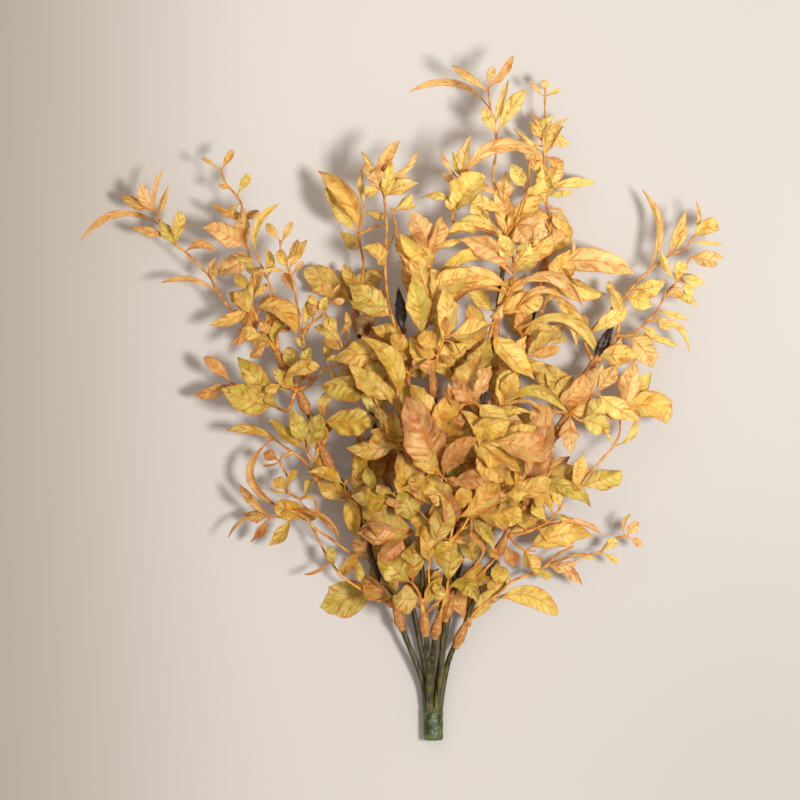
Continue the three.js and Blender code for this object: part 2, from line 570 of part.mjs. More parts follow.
spray("f5", "f", 240, [
  [22, 101, 250, 98, 259, 108, 272, 114, 277, 117, 287],
  [28, 109, 251, 118, 262, 121, 283, 130, 295, 137, 302, 151, 313, 162, 318, 168, 326],
  [36, 118, 262, 128, 263, 143, 277, 150, 290, 157, 297, 165, 312],
], [
  [137, 302, 135, 356, 5, -0.18, -4, 2],
  [151, 313, 162, 342, 7, 0, 6, 2],
  [155, 315, 163, 333, 5, 0, 4, 1],
  [168, 326, 169, 348, 2.6, -0.1, 3, 2],
  [167, 324, 183, 334, 10, 0.1, 5, 1],
  [165, 312, 182, 309, 12, 0, 4, 3],
  [166, 322, 186, 321, 3, 0, 2, 1],
  [165, 312, 186, 312, 3, 0.1, 0, 1],
  [157, 297, 146, 316, 5, 0.1, 3, 1],
  [155, 296, 160, 310, 9, 0, 5, 0],
  [157, 297, 166, 287, 6, 0.1, 3, 0],
  [150, 289, 170, 281, 7, 0.1, 4, 0],
  [148, 287, 160, 291, 7, 0, 4, 3],
  [117, 285, 113, 297, 5, 0, 3, 1],
  [128, 292, 149, 297, 12, -0.1, 4, 0],
  [124, 288, 141, 281, 13, 0, 4, 1],
  [144, 278, 164, 272, 5, 0, 3, 1],
  [142, 276, 152, 266, 8, 0, 4, 2],
  [137, 271, 165, 251, 5, 0.25, 2, 0],
  [124, 263, 141, 241, 16, 0.1, 6, 3],
  [121, 262, 117, 241, 12, 0, 3, 1],
  [128, 263, 157, 255, 4.5, 0.05, 3, 1],
  [126, 263, 146, 248, 3, 0, 2, 1],
  [134, 268, 143, 261, 8, 0, 5, 1],
  [160, 300, 176, 296, 9, 0, -60, 1],
]);

// ---------------------------------------------------------------- solids

function toSolid(geometry) {
  geometry.deleteAttribute("normal");
  geometry.deleteAttribute("uv");
  const merged = mergeVertices(geometry, 1e-4);
  const mesh = new wasm.Mesh({
    numProp: 3,
    vertProperties: new Float32Array(merged.attributes.position.array),
    triVerts: new Uint32Array(merged.index.array),
  });
  return new wasm.Manifold(mesh);
}

function toGeometry(solid) {
  const mesh = solid.getMesh();
  const geometry = new THREE.BufferGeometry();
  geometry.setAttribute("position", new THREE.BufferAttribute(mesh.vertProperties, 3));
  geometry.setIndex(new THREE.BufferAttribute(mesh.triVerts, 1));
  geometry.computeVertexNormals();
  return geometry;
}

function joined(solids) {
  return wasm.Manifold.union(solids);
}

function largestPiece(solid) {
  const pieces = solid.decompose();
  pieces.sort((p, q) => q.volume() - p.volume());
  return pieces[0];
}

function isClear(solid, others) {
  return solid.intersect(others).isEmpty();
}

// A tube with closed ends, along points that are already spaced out.
function tube(points, radius, sides) {
  const section = new THREE.Shape();
  for (let i = 0; i < sides; i += 1) {
    const angle = (i / sides) * Math.PI * 2;
    const x = Math.cos(angle) * radius;
    const y = Math.sin(angle) * radius;
    if (i === 0) section.moveTo(x, y);
    else section.lineTo(x, y);
  }
  section.closePath();
  const geometry = new THREE.ExtrudeGeometry(section, {
    steps: points.length - 1,
    bevelEnabled: false,
    extrudePath: polyline(points),
  });
  return toSolid(geometry);
}

// A path that ExtrudeGeometry samples exactly at the given points.
function polyline(points) {
  const path = new THREE.Curve();
  path.getPoint = (t) => {
    const along = t * (points.length - 1);
    const i = Math.min(Math.floor(along), points.length - 2);
    return new THREE.Vector3().lerpVectors(points[i], points[i + 1], along - i);
  };
  path.getPointAt = path.getPoint;
  path.getTangent = (t) => {
    const step = 0.5 / (points.length - 1);
    const before = path.getPoint(Math.max(t - step, 0));
    return path.getPoint(Math.min(t + step, 1)).sub(before).normalize();
  };
  path.getTangentAt = path.getTangent;
  return path;
}

function smoothed(points, steps) {
  return new THREE.CatmullRomCurve3(points).getSpacedPoints(steps);
}

// Turns a lathed piece, made along +Y, to stand along a direction at a point.
function turned(profile, sides, point, direction) {
  const outline = profile.map(([radius, height]) => new THREE.Vector2(radius, height));
  const geometry = new THREE.LatheGeometry(outline, sides);
  const turn = new THREE.Quaternion().setFromUnitVectors(new THREE.Vector3(0, 1, 0), direction);
  geometry.applyQuaternion(turn);
  geometry.translate(point.x, point.y, point.z);
  return toSolid(geometry);
}

// ---------------------------------------------------------------- stub, stems and tips

function stubSolid() {
  const profile = [
    [0, 0], [STUB_RADIUS * 0.88, 0], [STUB_RADIUS, STUB_LENGTH * 0.07],
    [STUB_RADIUS * 0.94, STUB_LENGTH * 0.45], [STUB_RADIUS, STUB_LENGTH * 0.8],
    [STUB_RADIUS * 0.96, STUB_LENGTH], [0, STUB_LENGTH],
  ];
  return turned(profile, STUB_SIDES, new THREE.Vector3(0, 0, STUB_RADIUS), new THREE.Vector3(0, 1, 0));
}

const stemLines = {};
for (const [name, points] of Object.entries(STEMS)) {
  stemLines[name] = smoothed(points.map((p) => new THREE.Vector3(...p)), STEM_STEPS);
}

function stemSolid(name, extra) {
  return tube(stemLines[name], STEM_RADIUS + extra, STEM_SIDES);
}

// The bare pointed tip that closes a stem.
function tipSolid(name) {
  const line = stemLines[name];
  const end = line[line.length - 1];
  const direction = end.clone().sub(line[line.length - 2]).normalize();
  const start = end.clone().addScaledVector(direction, GAP);
  const profile = [
    [0, 0], [STEM_RADIUS, 0], [TIP_RADIUS, TIP_LENGTH * 0.35], [TIP_RADIUS * 0.75, TIP_LENGTH * 0.7],
    [0, TIP_LENGTH],
  ];
  return turned(profile, TIP_SIDES, start, direction);
}

// The point of a stem at a distance along Y, and the stem's direction there.
function stemAt(name, y) {
  const line = stemLines[name];
  const i = line.findIndex((p, k) => k > 0 && p.y >= y);
  const share = (y - line[i - 1].y) / (line[i].y - line[i - 1].y);
  return {
    point: new THREE.Vector3().lerpVectors(line[i - 1], line[i], share),
    direction: line[i].clone().sub(line[i - 1]).normalize(),
  };
}

// ---------------------------------------------------------------- sleeves and twigs

function sleeveSolid({ point, direction }) {
  const half = SLEEVE_LENGTH / 2;
  const profile = [
    [0, -half], [SLEEVE_END_RADIUS, -half], [SLEEVE_RADIUS, -half * 0.3], [SLEEVE_END_RADIUS, half],
    [0, half],
  ];
  return turned(profile, SLEEVE_SIDES, point, direction);
}

// The point of a set of lines that is nearest to a point in plan.
function nearest(lines, target) {
  let best = null;
  let bestDistance = Infinity;
  for (const line of lines) {
    for (let i = 1; i < line.length; i += 1) {
      const along = line[i].clone().sub(line[i - 1]);
      const lengthSquared = along.x * along.x + along.y * along.y;
      const dot = (target.x - line[i - 1].x) * along.x + (target.y - line[i - 1].y) * along.y;
      const share = THREE.MathUtils.clamp(dot / lengthSquared, 0, 1);
      const point = line[i - 1].clone().addScaledVector(along, share);
      const distance = Math.hypot(point.x - target.x, point.y - target.y);
      if (distance < bestDistance) {
        best = point;
        bestDistance = distance;
      }
    }
  }
  return best;
}

// A twig's centre line. Its height goes evenly from its foot to its end.
function twigLine(twig, feet, sleeve, lift) {
  const [endHeight, ...flat] = twig;
  const plan = [];
  for (let i = 0; i < flat.length; i += 2) {
    plan.push(new THREE.Vector3(flat[i], flat[i + 1], 0));
  }
  const start = feet.length > 0 ? nearest(feet, plan[0]) : null;
  const distanceToTwig = start ? Math.hypot(start.x - plan[0].x, start.y - plan[0].y) : Infinity;
  const first = distanceToTwig < JOIN_REACH ? start : sleeveOutlet(sleeve, plan[1], endHeight + lift);
  let total = 0;
  const travelled = [0];
  plan[0].set(first.x, first.y, 0);
  for (let i = 1; i < plan.length; i += 1) {
    total += plan[i].distanceTo(plan[i - 1]);
    travelled.push(total);
  }
  const points = plan.map((p, i) => {
    const height = THREE.MathUtils.lerp(first.z, endHeight + lift, travelled[i] / total);
    return new THREE.Vector3(p.x, p.y, Math.max(height, TWIG_RADIUS));
  });
  return smoothed(points, Math.max(2, Math.round(total / TWIG_STEP)));
}

// Where a twig leaves a sleeve: in the wall of its upper half, on the side that the twig goes to.
function sleeveOutlet({ point, direction }, towards, height) {
  const onAxis = point.clone().addScaledVector(direction, SLEEVE_LENGTH * 0.3);
  const outward = new THREE.Vector3(towards.x, towards.y, height).sub(onAxis);
  outward.addScaledVector(direction, -outward.dot(direction));
  if (outward.length() < TWIG_RADIUS) outward.set(0, 0, 1);
  return onAxis.addScaledVector(outward.normalize(), SLEEVE_END_RADIUS);
}

// ---------------------------------------------------------------- leaves

// Half-width of a leaf as shares of its length and width: a broad leaf, a short leaf and a strap.
const BLADE = [[0.42, 1], [0.75, 0.72]];
const SPOON = [[0.6, 1]];
const STRAP = [[0.35, 0.8], [0.7, 1]];

function outlineOf(width, length) {
  if (length < SPOON_LENGTH) return SPOON;
  if (width < STRAP_RATIO * length) return STRAP;
  return BLADE;
}

// A leaf's solid: rings of three corners, two on the leaf's edges and one on the ridge of its midrib.
function leafSolid(foot, leaf, index, lift, extra) {
  const [, , tipX, tipY, width, bend, rise] = leaf;
  const chord = new THREE.Vector3(tipX - foot.x, tipY - foot.y, 0);
  const length = chord.length();
  const left = new THREE.Vector3(-chord.y, chord.x, 0).normalize();
  const roll = ROLL_SWING * Math.sin(2.4 * index);
  const centre = (t) => {
    const swing = 4 * t * (1 - t) * length;
    const point = foot.clone().addScaledVector(chord, t).addScaledVector(left, swing * bend);
    point.z += (rise + lift) * Math.sin((t * Math.PI) / 2) + swing * LEAF_ARCH;
    return point;
  };
  const rings = outlineOf(width, length);
  const corners = [foot.clone().addScaledVector(chord, -STALK_DEPTH / length)];
  for (const [t, share] of rings) {
    const halfWidth = (share * width) / 2 + extra;
    const point = centre(t);
    const tangent = centre(t + 0.05).sub(centre(t - 0.05)).normalize();
    const side = new THREE.Vector3(-tangent.y, tangent.x, 0).normalize();
    const up = new THREE.Vector3().crossVectors(tangent, side);
    if (point.z < LEAF_THICKNESS / 2) up.set(0, 0, 1);
    const turn = point.z > LEAF_THICKNESS ? roll : 0;
    const across = side.clone().multiplyScalar(Math.cos(turn)).addScaledVector(up, Math.sin(turn));
    const over = up.clone().multiplyScalar(Math.cos(turn)).addScaledVector(side, -Math.sin(turn));
    point.z = Math.max(point.z, LEAF_THICKNESS / 2);
    point.addScaledVector(over, -LEAF_THICKNESS / 2 - extra);
    const ridge = LEAF_THICKNESS + 2 * extra;
    corners.push(point.clone().addScaledVector(across, halfWidth));
    corners.push(point.clone().addScaledVector(over, ridge));
    corners.push(point.clone().addScaledVector(across, -halfWidth));
  }
  corners.push(centre(1).addScaledVector(chord, extra / length));
  for (const corner of corners) {
    corner.z = Math.max(corner.z, 0);
  }
  return toSolid(ringedGeometry(corners, 3, rings.length));
}

// Joins a point, rings of corners and a last point.
function ringedGeometry(points, sides, rings) {
  const last = 1 + (rings - 1) * sides;
  const faces = [];
  for (let k = 0; k < sides; k += 1) {
    const next = (k + 1) % sides;
    faces.push(0, 1 + next, 1 + k);
    faces.push(last + k, last + next, points.length - 1);
    for (let ring = 0; ring < rings - 1; ring += 1) {
      const a = 1 + ring * sides + k;
      const b = 1 + ring * sides + next;
      faces.push(a, b, a + sides, b, b + sides, a + sides);
    }
  }
  const geometry = new THREE.BufferGeometry().setFromPoints(points);
  geometry.setIndex(faces);
  return geometry;
}
// ---------------------------------------------------------------- fitting the sprays together

// A twig or leaf that would run into another piece is tried at these heights until it is clear.
const LIFTS = [0, 3, -3, 6, -6, 10, -10, 15, -15, 21, -21, 28];

function firstClear(make, others) {
  for (const lift of LIFTS) {
    const made = make(lift);
    if (isClear(made.solid, others)) return made;
  }
  return null;
}

// The sleeve and twigs of a spray, with the same shape grown by the gap for its neighbours to keep clear of.
function buildCore({ stem, at, twigs }, others) {
  const sleeve = stemAt(stem, at);
  const solids = [sleeveSolid(sleeve)];
  const lines = [];
  for (const twig of twigs) {
    const grownTwig = (lift) => {
      const line = twigLine(twig, lines, sleeve, lift);
      return { line, solid: tube(line, TWIG_RADIUS, TWIG_SIDES) };
    };
    const made = firstClear(grownTwig, others) ?? grownTwig(0);
    lines.push(made.line);
    solids.push(made.solid);
  }
  const solid = largestPiece(joined(solids).subtract(others));
  const room = lines.map((line) => tube(line, TWIG_RADIUS + 2 * GAP, TWIG_SIDES));
  const grown = joined([sleeveSolid(sleeve), ...room]);
  return { lines, solid, grown };
}

// The leaves of a spray that find room, as a solid and as the room that they take.
function buildLeaves({ leaves }, lines, others) {
  const solids = [];
  const grown = [];
  leaves.forEach((leaf, index) => {
    const foot = nearest(lines, new THREE.Vector3(leaf[0], leaf[1], 0));
    const grownLeaf = (lift) => ({ lift, solid: leafSolid(foot, leaf, index, lift, 0) });
    const made = firstClear(grownLeaf, others);
    if (!made) return;
    solids.push(made.solid);
    grown.push(leafSolid(foot, leaf, index, made.lift, GAP));
  });
  return { solids, grown };
}

// ---------------------------------------------------------------- assembly

const group = new THREE.Group();

function add(name, solid, colour, roughness) {
  const material = new THREE.MeshStandardMaterial({ color: colour, roughness, metalness: 0 });
  const mesh = new THREE.Mesh(toGeometry(solid), material);
  mesh.name = name;
  group.add(mesh);
}

function averageTone(leaves) {
  const mixed = new THREE.Color(0, 0, 0);
  for (const leaf of leaves) {
    mixed.add(new THREE.Color(LEAF_TONES[leaf[7]]));
  }
  return mixed.multiplyScalar(1 / leaves.length);
}

const stub = stubSolid();
add("base_stub", stub, STUB_COLOUR, 0.5);

const framework = [stub];
for (const name of Object.keys(STEMS)) {
  add(`stem_${name}`, stemSolid(name, 0), STEM_COLOUR, 0.6);
  framework.push(stemSolid(name, GAP));
}
for (const name of TIPPED_STEMS) {
  const tip = tipSolid(name);
  add(`stem_tip_${name}`, tip, TIP_COLOUR, 0.6);
  framework.push(tip);
}
const stems = joined(framework);

const cores = [];
let coresTaken = stems;
for (const plan of sprays) {
  const core = buildCore(plan, coresTaken);
  coresTaken = joined([coresTaken, core.grown]);
  cores.push(core);
}

let leavesTaken = stems;
sprays.forEach((plan, i) => {
  const neighbours = cores.filter((core, k) => k !== i).map((core) => core.grown);
  const { solids, grown } = buildLeaves(plan, cores[i].lines, joined([leavesTaken, ...neighbours]));
  leavesTaken = joined([leavesTaken, ...grown]);
  const whole = largestPiece(joined([cores[i].solid, ...solids])).simplify(SIMPLIFY);
  add(`spray_${plan.name}`, whole, averageTone(plan.leaves), 0.7);
});

// The origin is the middle of the bunch's outline, on the surface that it lies on.
const box = new THREE.Box3().setFromObject(group);
const middle = box.getCenter(new THREE.Vector3());
group.position.set(-middle.x, -middle.y, -box.min.z);

export default group;
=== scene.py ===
"""The looks of an artificial autumn leaf bunch that lies on a surface and is seen from above.

The layout is in millimetres, measured from the cut end of the base stub: x to the right, y from the stub
to the tips and z up from the surface. Meshes are in metres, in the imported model's frame.
"""

import math
import random
from types import SimpleNamespace

import bpy
from mathutils import Color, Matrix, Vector, noise


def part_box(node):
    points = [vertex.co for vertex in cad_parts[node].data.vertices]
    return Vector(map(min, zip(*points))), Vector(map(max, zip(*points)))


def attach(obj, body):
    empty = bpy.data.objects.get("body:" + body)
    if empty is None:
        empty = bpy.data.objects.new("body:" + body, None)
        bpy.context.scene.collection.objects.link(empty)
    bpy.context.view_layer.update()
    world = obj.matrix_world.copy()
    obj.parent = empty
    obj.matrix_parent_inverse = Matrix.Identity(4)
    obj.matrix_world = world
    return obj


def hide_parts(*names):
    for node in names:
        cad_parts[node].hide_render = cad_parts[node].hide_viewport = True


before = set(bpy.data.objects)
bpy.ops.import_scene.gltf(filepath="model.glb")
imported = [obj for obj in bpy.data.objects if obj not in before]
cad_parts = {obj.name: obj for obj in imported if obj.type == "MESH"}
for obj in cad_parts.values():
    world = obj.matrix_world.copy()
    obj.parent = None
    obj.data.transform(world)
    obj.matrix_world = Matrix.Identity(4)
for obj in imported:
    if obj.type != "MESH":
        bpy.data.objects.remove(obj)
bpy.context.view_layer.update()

# ---------------------------------------------------------------- driving dimensions

MM = 0.001
DISPLAY_GAMMA = 2.2  # colours below are as displayed, and become linear when raised to this power
STUB_LOW, STUB_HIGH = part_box("base_stub")
LAYOUT_ORIGIN = Vector(((STUB_LOW.x + STUB_HIGH.x) / 2, STUB_LOW.y, STUB_LOW.z))
STUB_RADIUS = (STUB_HIGH.x - STUB_LOW.x) / 2 / MM
STUB_LENGTH = (STUB_HIGH.y - STUB_LOW.y) / MM

STEM_RING = 4.1  # the six outer stems leave the stub on a ring of this radius
STEM_RADIUS = 1.85
STEM_END_RADIUS = 1.35
TWIG_RADIUS = 1.0
TWIG_END_RADIUS = 0.6
SLEEVE_LENGTH = 22
SLEEVE_RADIUS = 3.8
TIP_LENGTH = 28
TIP_RADIUS = 4.0
LEAF_THICKNESS = 0.3
STALK_RADIUS = 0.45
LEAF_ARCH = 0.08  # a leaf's middle stands up by this share of its length
ROLL_SWING = 0.35  # leaves are turned about their own length by up to this angle, in radians
SPOON_LENGTH = 17  # a leaf shorter than this is a spoon-shaped leaflet
STRAP_RATIO = 0.22  # a leaf narrower than this share of its length is a strap
RESTING_RISE = -50  # a leaf that falls by more than this lies on the surface
FLOOR_GAP = 0.15  # the lowest that a leaf's middle surface comes above the surface it lies on
JOIN_REACH = 3  # a twig that starts this near to an earlier twig grows out of it
TIPPED_STEMS = ["b", "f"]


# ---------------------------------------------------------------- layout, as in the CAD model

def stem_foot(degrees):
    """Where a stem leaves the stub's end face, on the ring of outer stems."""
    angle = math.radians(degrees)
    height = STUB_RADIUS + STEM_RING * math.sin(angle)
    return (STEM_RING * math.cos(angle), STUB_LENGTH, height)


# Each stem's centre line, from the stub's end face.
STEMS = {
    "a": [stem_foot(180), (-7, 39, 9), (-19, 70, 16), (-27, 93, 20), (-34, 104, 22), (-53, 156, 27),
          (-70, 185, 29), (-86, 224, 30), (-107, 262, 28)],
    "b": [stem_foot(120), (-3, 44, 17), (-5, 69, 27), (-7, 94, 34), (-7.5, 114, 38), (-10, 145, 42),
          (-14, 181, 45), (-16, 221, 46), (-20, 265, 46)],
    "c": [(0, STUB_LENGTH, STUB_RADIUS), (-1, 45, 11), (1, 67, 21), (4, 84, 31), (8, 110, 46),
          (10, 140, 56), (7, 170, 62), (3, 200, 64), (-2, 244, 62)],
    "d": [stem_foot(60), (5, 43, 14), (6.5, 71, 20), (11, 92, 26), (14, 100, 28), (12, 117, 31),
          (14, 136, 34), (21, 161, 36), (29, 209, 38), (37, 250, 38), (42, 286, 37), (48, 328, 36),
          (51, 343, 34)],
    "e": [stem_foot(300), (4, 45, 5), (9, 75, 7), (14, 100, 8), (22, 130, 9), (33, 165, 10), (44, 200, 10),
          (56, 240, 10), (66, 280, 10), (74, 318, 9)],
    "f": [stem_foot(0), (9, 48, 10), (14, 62, 14), (19, 71, 17), (24, 86, 20), (31, 100, 22), (40, 118, 24),
          (47, 133, 25), (60, 155, 26), (68, 176, 27), (81, 201, 28), (91, 220, 28), (104, 246, 28)],
    "g": [stem_foot(240), (-6, 50, 4.5), (-12, 80, 7), (-18, 110, 9), (-26, 145, 10), (-34, 185, 11),
          (-42, 225, 11), (-48, 262, 11), (-52, 290, 11)],
}

# A spray is threaded on its stem at the distance "at" along y.
# A twig is [height of its end, x, y, x, y, ...]: a route in plan from the sleeve or from an earlier twig.
# A leaf is [x, y, tip x, tip y, width, bend, rise, tone]: it leaves the nearest twig, bows sideways by
# "bend" times its length, to the left if positive, and its tip is "rise" above its foot.
SPRAYS = []


def spray(name, stem, at, twigs, leaves):
    SPRAYS.append({"name": name, "stem": stem, "at": at, "twigs": twigs, "leaves": leaves})


# ---- stem a: the left stem
spray("a1", "a", 82, [
    [20, -27, 93, -36, 100],
    [24, -27, 93, -54, 103, -67, 117, -77, 136, -84, 144, -107, 145],
], [
    [-36, 99, -73, 86, 25, 0.02, -60, 0], [-35, 100, -25, 110, 11, 0, 6, 0],
    [-67, 117, -83, 108, 2.4, 0.12, 2, 2], [-62, 112, -66, 126, 7, 0.1, 5, 0],
    [-58, 107, -49, 122, 8, 0.1, 8, 1], [-82, 141, -103, 151, 15, -0.1, 8, 1],
    [-92, 144, -106, 127, 9, 0.1, -4, 1], [-105, 145, -125, 166, 6, 0.03, 5, 2],
    [-106, 145, -123, 147, 8, 0, -3, 2], [-106, 145, -132, 132, 2.4, -0.2, 0, 2],
    [-105, 145, -118, 129, 6, 0, -5, 2],
])
spray("a2", "a", 152, [
    [26, -54, 158, -62, 157, -70, 163, -77, 171, -83, 181, -91, 187, -97, 191, -103, 196],
    [22, -91, 187, -97, 184, -99, 181, -96, 175, -94, 170, -95, 162],
    [22, -95, 162, -87, 157, -82, 158, -77, 157, -75, 149],
    [42, -55, 160, -57, 167, -50, 172, -46, 181, -42, 187],
], [
    [-55, 160, -50, 133, 11, 0.05, 8, 1], [-57, 166, -80, 174, 9, -0.1, 8, 1],
    [-52, 171, -51, 185, 7, -0.2, 5, 1], [-97, 192, -133, 201, 6, -0.12, 2, 1],
    [-103, 196, -100, 152, 6, -0.38, -4, 2], [-99, 181, -109, 187, 8, 0, 4, 2],
    [-99, 181, -110, 178, 2.4, 0.1, 0, 2], [-95, 162, -102, 170, 9, 0, 3, 1],
    [-95, 163, -88, 175, 5.5, 0.1, 5, 1], [-94, 161, -105, 163, 2.4, 0.1, 0, 1],
    [-83, 158, -78, 169, 8, 0, 6, 0],
])
spray("a3", "a", 185, [
    [36, -72, 194, -68, 199, -72, 206, -73, 211],
    [34, -69, 188, -77, 181, -81, 186, -82, 193],
], [
    [-72, 208, -35, 208, 19, -0.05, 8, 1], [-72, 210, -61, 227, 7, 0.18, 6, 1],
    [-81, 186, -73, 211, 15, 0, 12, 0], [-81, 189, -107, 209, 9, 0.05, 6, 0],
    [-82, 192, -92, 215, 12, 0, 12, 0],
])
spray("a4", "a", 221, [
    [38, -87, 226, -93, 229, -98, 232],
    [26, -85, 218, -94, 214, -104, 217, -120, 226, -131, 232],
    [52, -84, 220, -79, 231, -82, 243, -84, 262, -88, 285, -91, 300, -97, 311, -98, 322],
    [44, -79, 231, -70, 240, -57, 244],
    [52, -84, 264, -78, 270, -70, 276, -68, 283],
], [
    [-104, 217, -136, 228, 17, 0.05, 8, 0], [-105, 217, -126, 248, 15, -0.05, 12, 0],
    [-104, 216, -119, 217, 9, 0.1, 2, 0], [-130, 231, -148, 248, 9, -0.05, 4, 2],
    [-130, 231, -155, 224, 9, 0.06, -6, 2], [-97, 231, -73, 242, 10, 0.15, 10, 1],
    [-97, 231, -108, 226, 8, 0, 4, 1], [-57, 244, -36, 239, 9, 0.12, 4, 0],
    [-98, 322, -107, 333, 5.5, 0, 4, 2], [-97, 320, -90, 334, 5, 0, 6, 2],
    [-95, 309, -87, 323, 6, -0.1, 5, 2], [-91, 300, -83, 309, 4, 0, 4, 2], [-93, 302, -99, 316, 7, 0, 6, 1],
    [-92, 301, -113, 302, 2.4, -0.1, 2, 1], [-68, 283, -69, 297, 7, 0, 5, 2],
    [-68, 283, -60, 294, 2.6, 0, 4, 2], [-68, 282, -57, 284, 5, 0, 3, 2],
    [-69, 281, -80, 287, 5, 0.1, 2, 1], [-82, 267, -80, 285, 7, 0, 3, 1], [-70, 277, -64, 265, 8, 0, 6, 1],
])
spray("a5", "a", 247, [
    [30, -104, 256, -112, 270, -117, 283, -115, 296, -119, 316, -123, 338, -124, 348, -134, 361, -137, 370],
    [22, -112, 270, -118, 276, -130, 279, -138, 289, -145, 301, -160, 316, -166, 320, -174, 331, -180, 342],
    [40, -104, 262, -101, 280, -106, 297, -113, 312],
], [
    [-138, 289, -175, 296, 4, -0.15, -4, 2], [-145, 301, -140, 312, 2.4, 0.1, 2, 2],
    [-160, 316, -140, 317, 6, 0.18, 4, 2], [-166, 320, -176, 338, 9, 0, 4, 0],
    [-166, 320, -163, 342, 9, 0, 7, 0], [-170, 326, -195, 332, 6, 0, 2, 2],
    [-175, 332, -229, 324, 5, -0.25, -60, 2], [-180, 342, -203, 353, 7, 0, -2, 2],
    [-180, 342, -188, 361, 9, 0.1, 6, 3], [-179, 341, -174, 369, 3, 0.1, 6, 2],
    [-178, 338, -171, 358, 5, 0, 4, 2], [-136, 369, -149, 376, 3, 0, 1, 2],
    [-136, 368, -129, 381, 5, 0, 3, 2], [-130, 356, -138, 359, 4, 0, 2, 2],
    [-126, 352, -119, 366, 6, 0, 4, 0], [-124, 348, -134, 338, 6, 0, -2, 0],
    [-123, 335, -143, 346, 4, 0, 0, 2], [-119, 318, -123, 346, 9, 0.05, 8, 2],
    [-119, 317, -148, 331, 13, -0.08, 6, 3], [-119, 314, -140, 303, 15, 0.1, 2, 3],
    [-113, 312, -99, 346, 5, 0.2, 8, 1], [-117, 283, -127, 287, 4, 0, 1, 2],
    [-116, 285, -107, 295, 5, 0, 4, 1], [-115, 281, -88, 262, 13, 0.2, 10, 1],
    [-116, 281, -131, 256, 12, 0.1, 4, 2], [-117, 282, -144, 269, 8, 0.1, 0, 1],
    [-108, 262, -124, 264, 8, 0, 6, 1], [-106, 258, -118, 248, 7, 0, 2, 2],
])

# ---- stem g: the rear stem, left of the middle
spray("g1", "g", 108, [
    [32, -19, 114, -35, 116, -52, 121, -66, 131, -77, 138, -83, 145, -93, 150],
], [
    [-92, 150, -60, 129, 5, 0.2, 4, 2], [-50, 121, -48, 104, 8, 0.05, 4, 1],
    [-42, 118, -37, 103, 8, 0.05, -2, 1], [-36, 116, -48, 137, 15, 0.1, 14, 3],
    [-30, 115, -33, 141, 16, 0, 16, 1], [-26, 114, -32, 98, 10, 0, -60, 0],
])
spray("g2", "g", 165, [
    [46, -32, 172, -38, 172, -44, 182, -40, 190],
    [40, -36, 171, -39, 162, -36, 153, -32, 146, -31, 133],
], [
    [-40, 190, -38, 199, 7, 0, 5, 1], [-43, 186, -48, 191, 3, 0, 2, 2], [-42, 185, -28, 193, 9, 0, 4, 3],
    [-43, 180, -40, 165, 9, 0, 6, 0], [-38, 173, -20, 184, 9, 0.1, 6, 2],
    [-38, 171, -17, 174, 17, 0.1, 8, 2], [-39, 163, -43, 153, 4, 0, 4, 1], [-38, 160, -33, 151, 6, 0, 6, 1],
    [-38, 164, -25, 158, 8, 0, 5, 0], [-32, 146, -45, 142, 5, 0.1, 3, 1],
])
spray("g3", "g", 228, [
    [40, -43, 238, -36, 243, -36, 256],
    [30, -44, 238, -52, 246, -55, 256, -54, 264],
], [
    [-36, 242, -51, 244, 7, -0.15, 2, 2], [-36, 252, -46, 253, 2.4, 0.15, 2, 1],
    [-36, 256, -46, 261, 5, 0, 4, 1], [-54, 262, -56, 277, 4, 0, 4, 1],
    [-54, 256, -69, 257, 4.5, 0.1, 2, 1],
])
spray("g4", "g", 274, [
    [36, -50, 282, -43, 284, -46, 297, -45, 309, -48, 327, -44, 343],
    [34, -48, 327, -40, 331, -33, 333],
    [32, -49, 278, -42, 276, -36, 277],
], [
    [-37, 277, -50, 263, 16, 0, 6, 4], [-40, 277, -31, 292, 6, 0, 5, 2],
    [-44, 286, -58, 308, 9, 0.05, 4, 1], [-45, 302, -31, 297, 3, 0.2, 2, 1],
    [-48, 327, -74, 368, 13, -0.15, 4, 1], [-44, 343, -46, 368, 4, 0.05, 6, 1],
    [-44, 341, -32, 337, 5, 0.1, 2, 0], [-46, 318, -60, 330, 9, 0, -60, 1],
])

# ---- stem b: the stem left of the middle, ending in a bare tip
spray("b1", "b", 79, [
    [44, -8, 90, -9, 96, -14, 104],
    [50, -5, 90, -3, 100, -3, 115, 1, 125],
], [
    [-9, 94, -26, 95, 19, 0.1, 8, 0], [-14, 103, -12, 131, 17, 0, 8, 0],
    [-13, 103, -33, 128, 17, 0.1, 2, 0], [-3, 115, -7, 142, 12, 0, 10, 1],
    [1, 124, 15, 158, 16, 0.08, 16, 0], [-3, 106, 5, 109, 5, 0, 3, 0],
])
spray("b2", "b", 128, [
    [60, -9, 140, -14, 150, -22, 156, -26, 161],
    [50, -11, 136, -20, 133, -31, 133],
], [
    [-12, 142, -22, 163, 18, 0, 12, 0], [-26, 161, -2, 154, 8, 0.28, 6, 1],
    [-20, 133, -47, 138, 13, -0.1, 6, 3], [-18, 133, -35, 118, 14, 0, 2, 3],
    [-14, 149, -5, 168, 11, 0, 10, 2], [-26, 160, -36, 167, 8, 0, 4, 0],
])
spray("b3", "b", 178, [
    [52, -16, 188, -22, 194, -30, 205, -38, 222, -49, 238, -56, 248, -61, 262],
    [60, -14, 190, -20, 206, -22, 220],
], [
    [-22, 220, -54, 243, 15, 0.05, 8, 0], [-22, 222, -46, 260, 13, -0.18, 14, 1],
    [-21, 193, -34, 214, 5, 0.05, 3, 0], [-57, 250, -68, 246, 4, 0, 2, 1], [-61, 262, -66, 272, 5, 0, 3, 1],
    [-61, 261, -53, 271, 4, 0, 3, 2], [-15, 190, -4, 202, 12, 0, 8, 2],
])
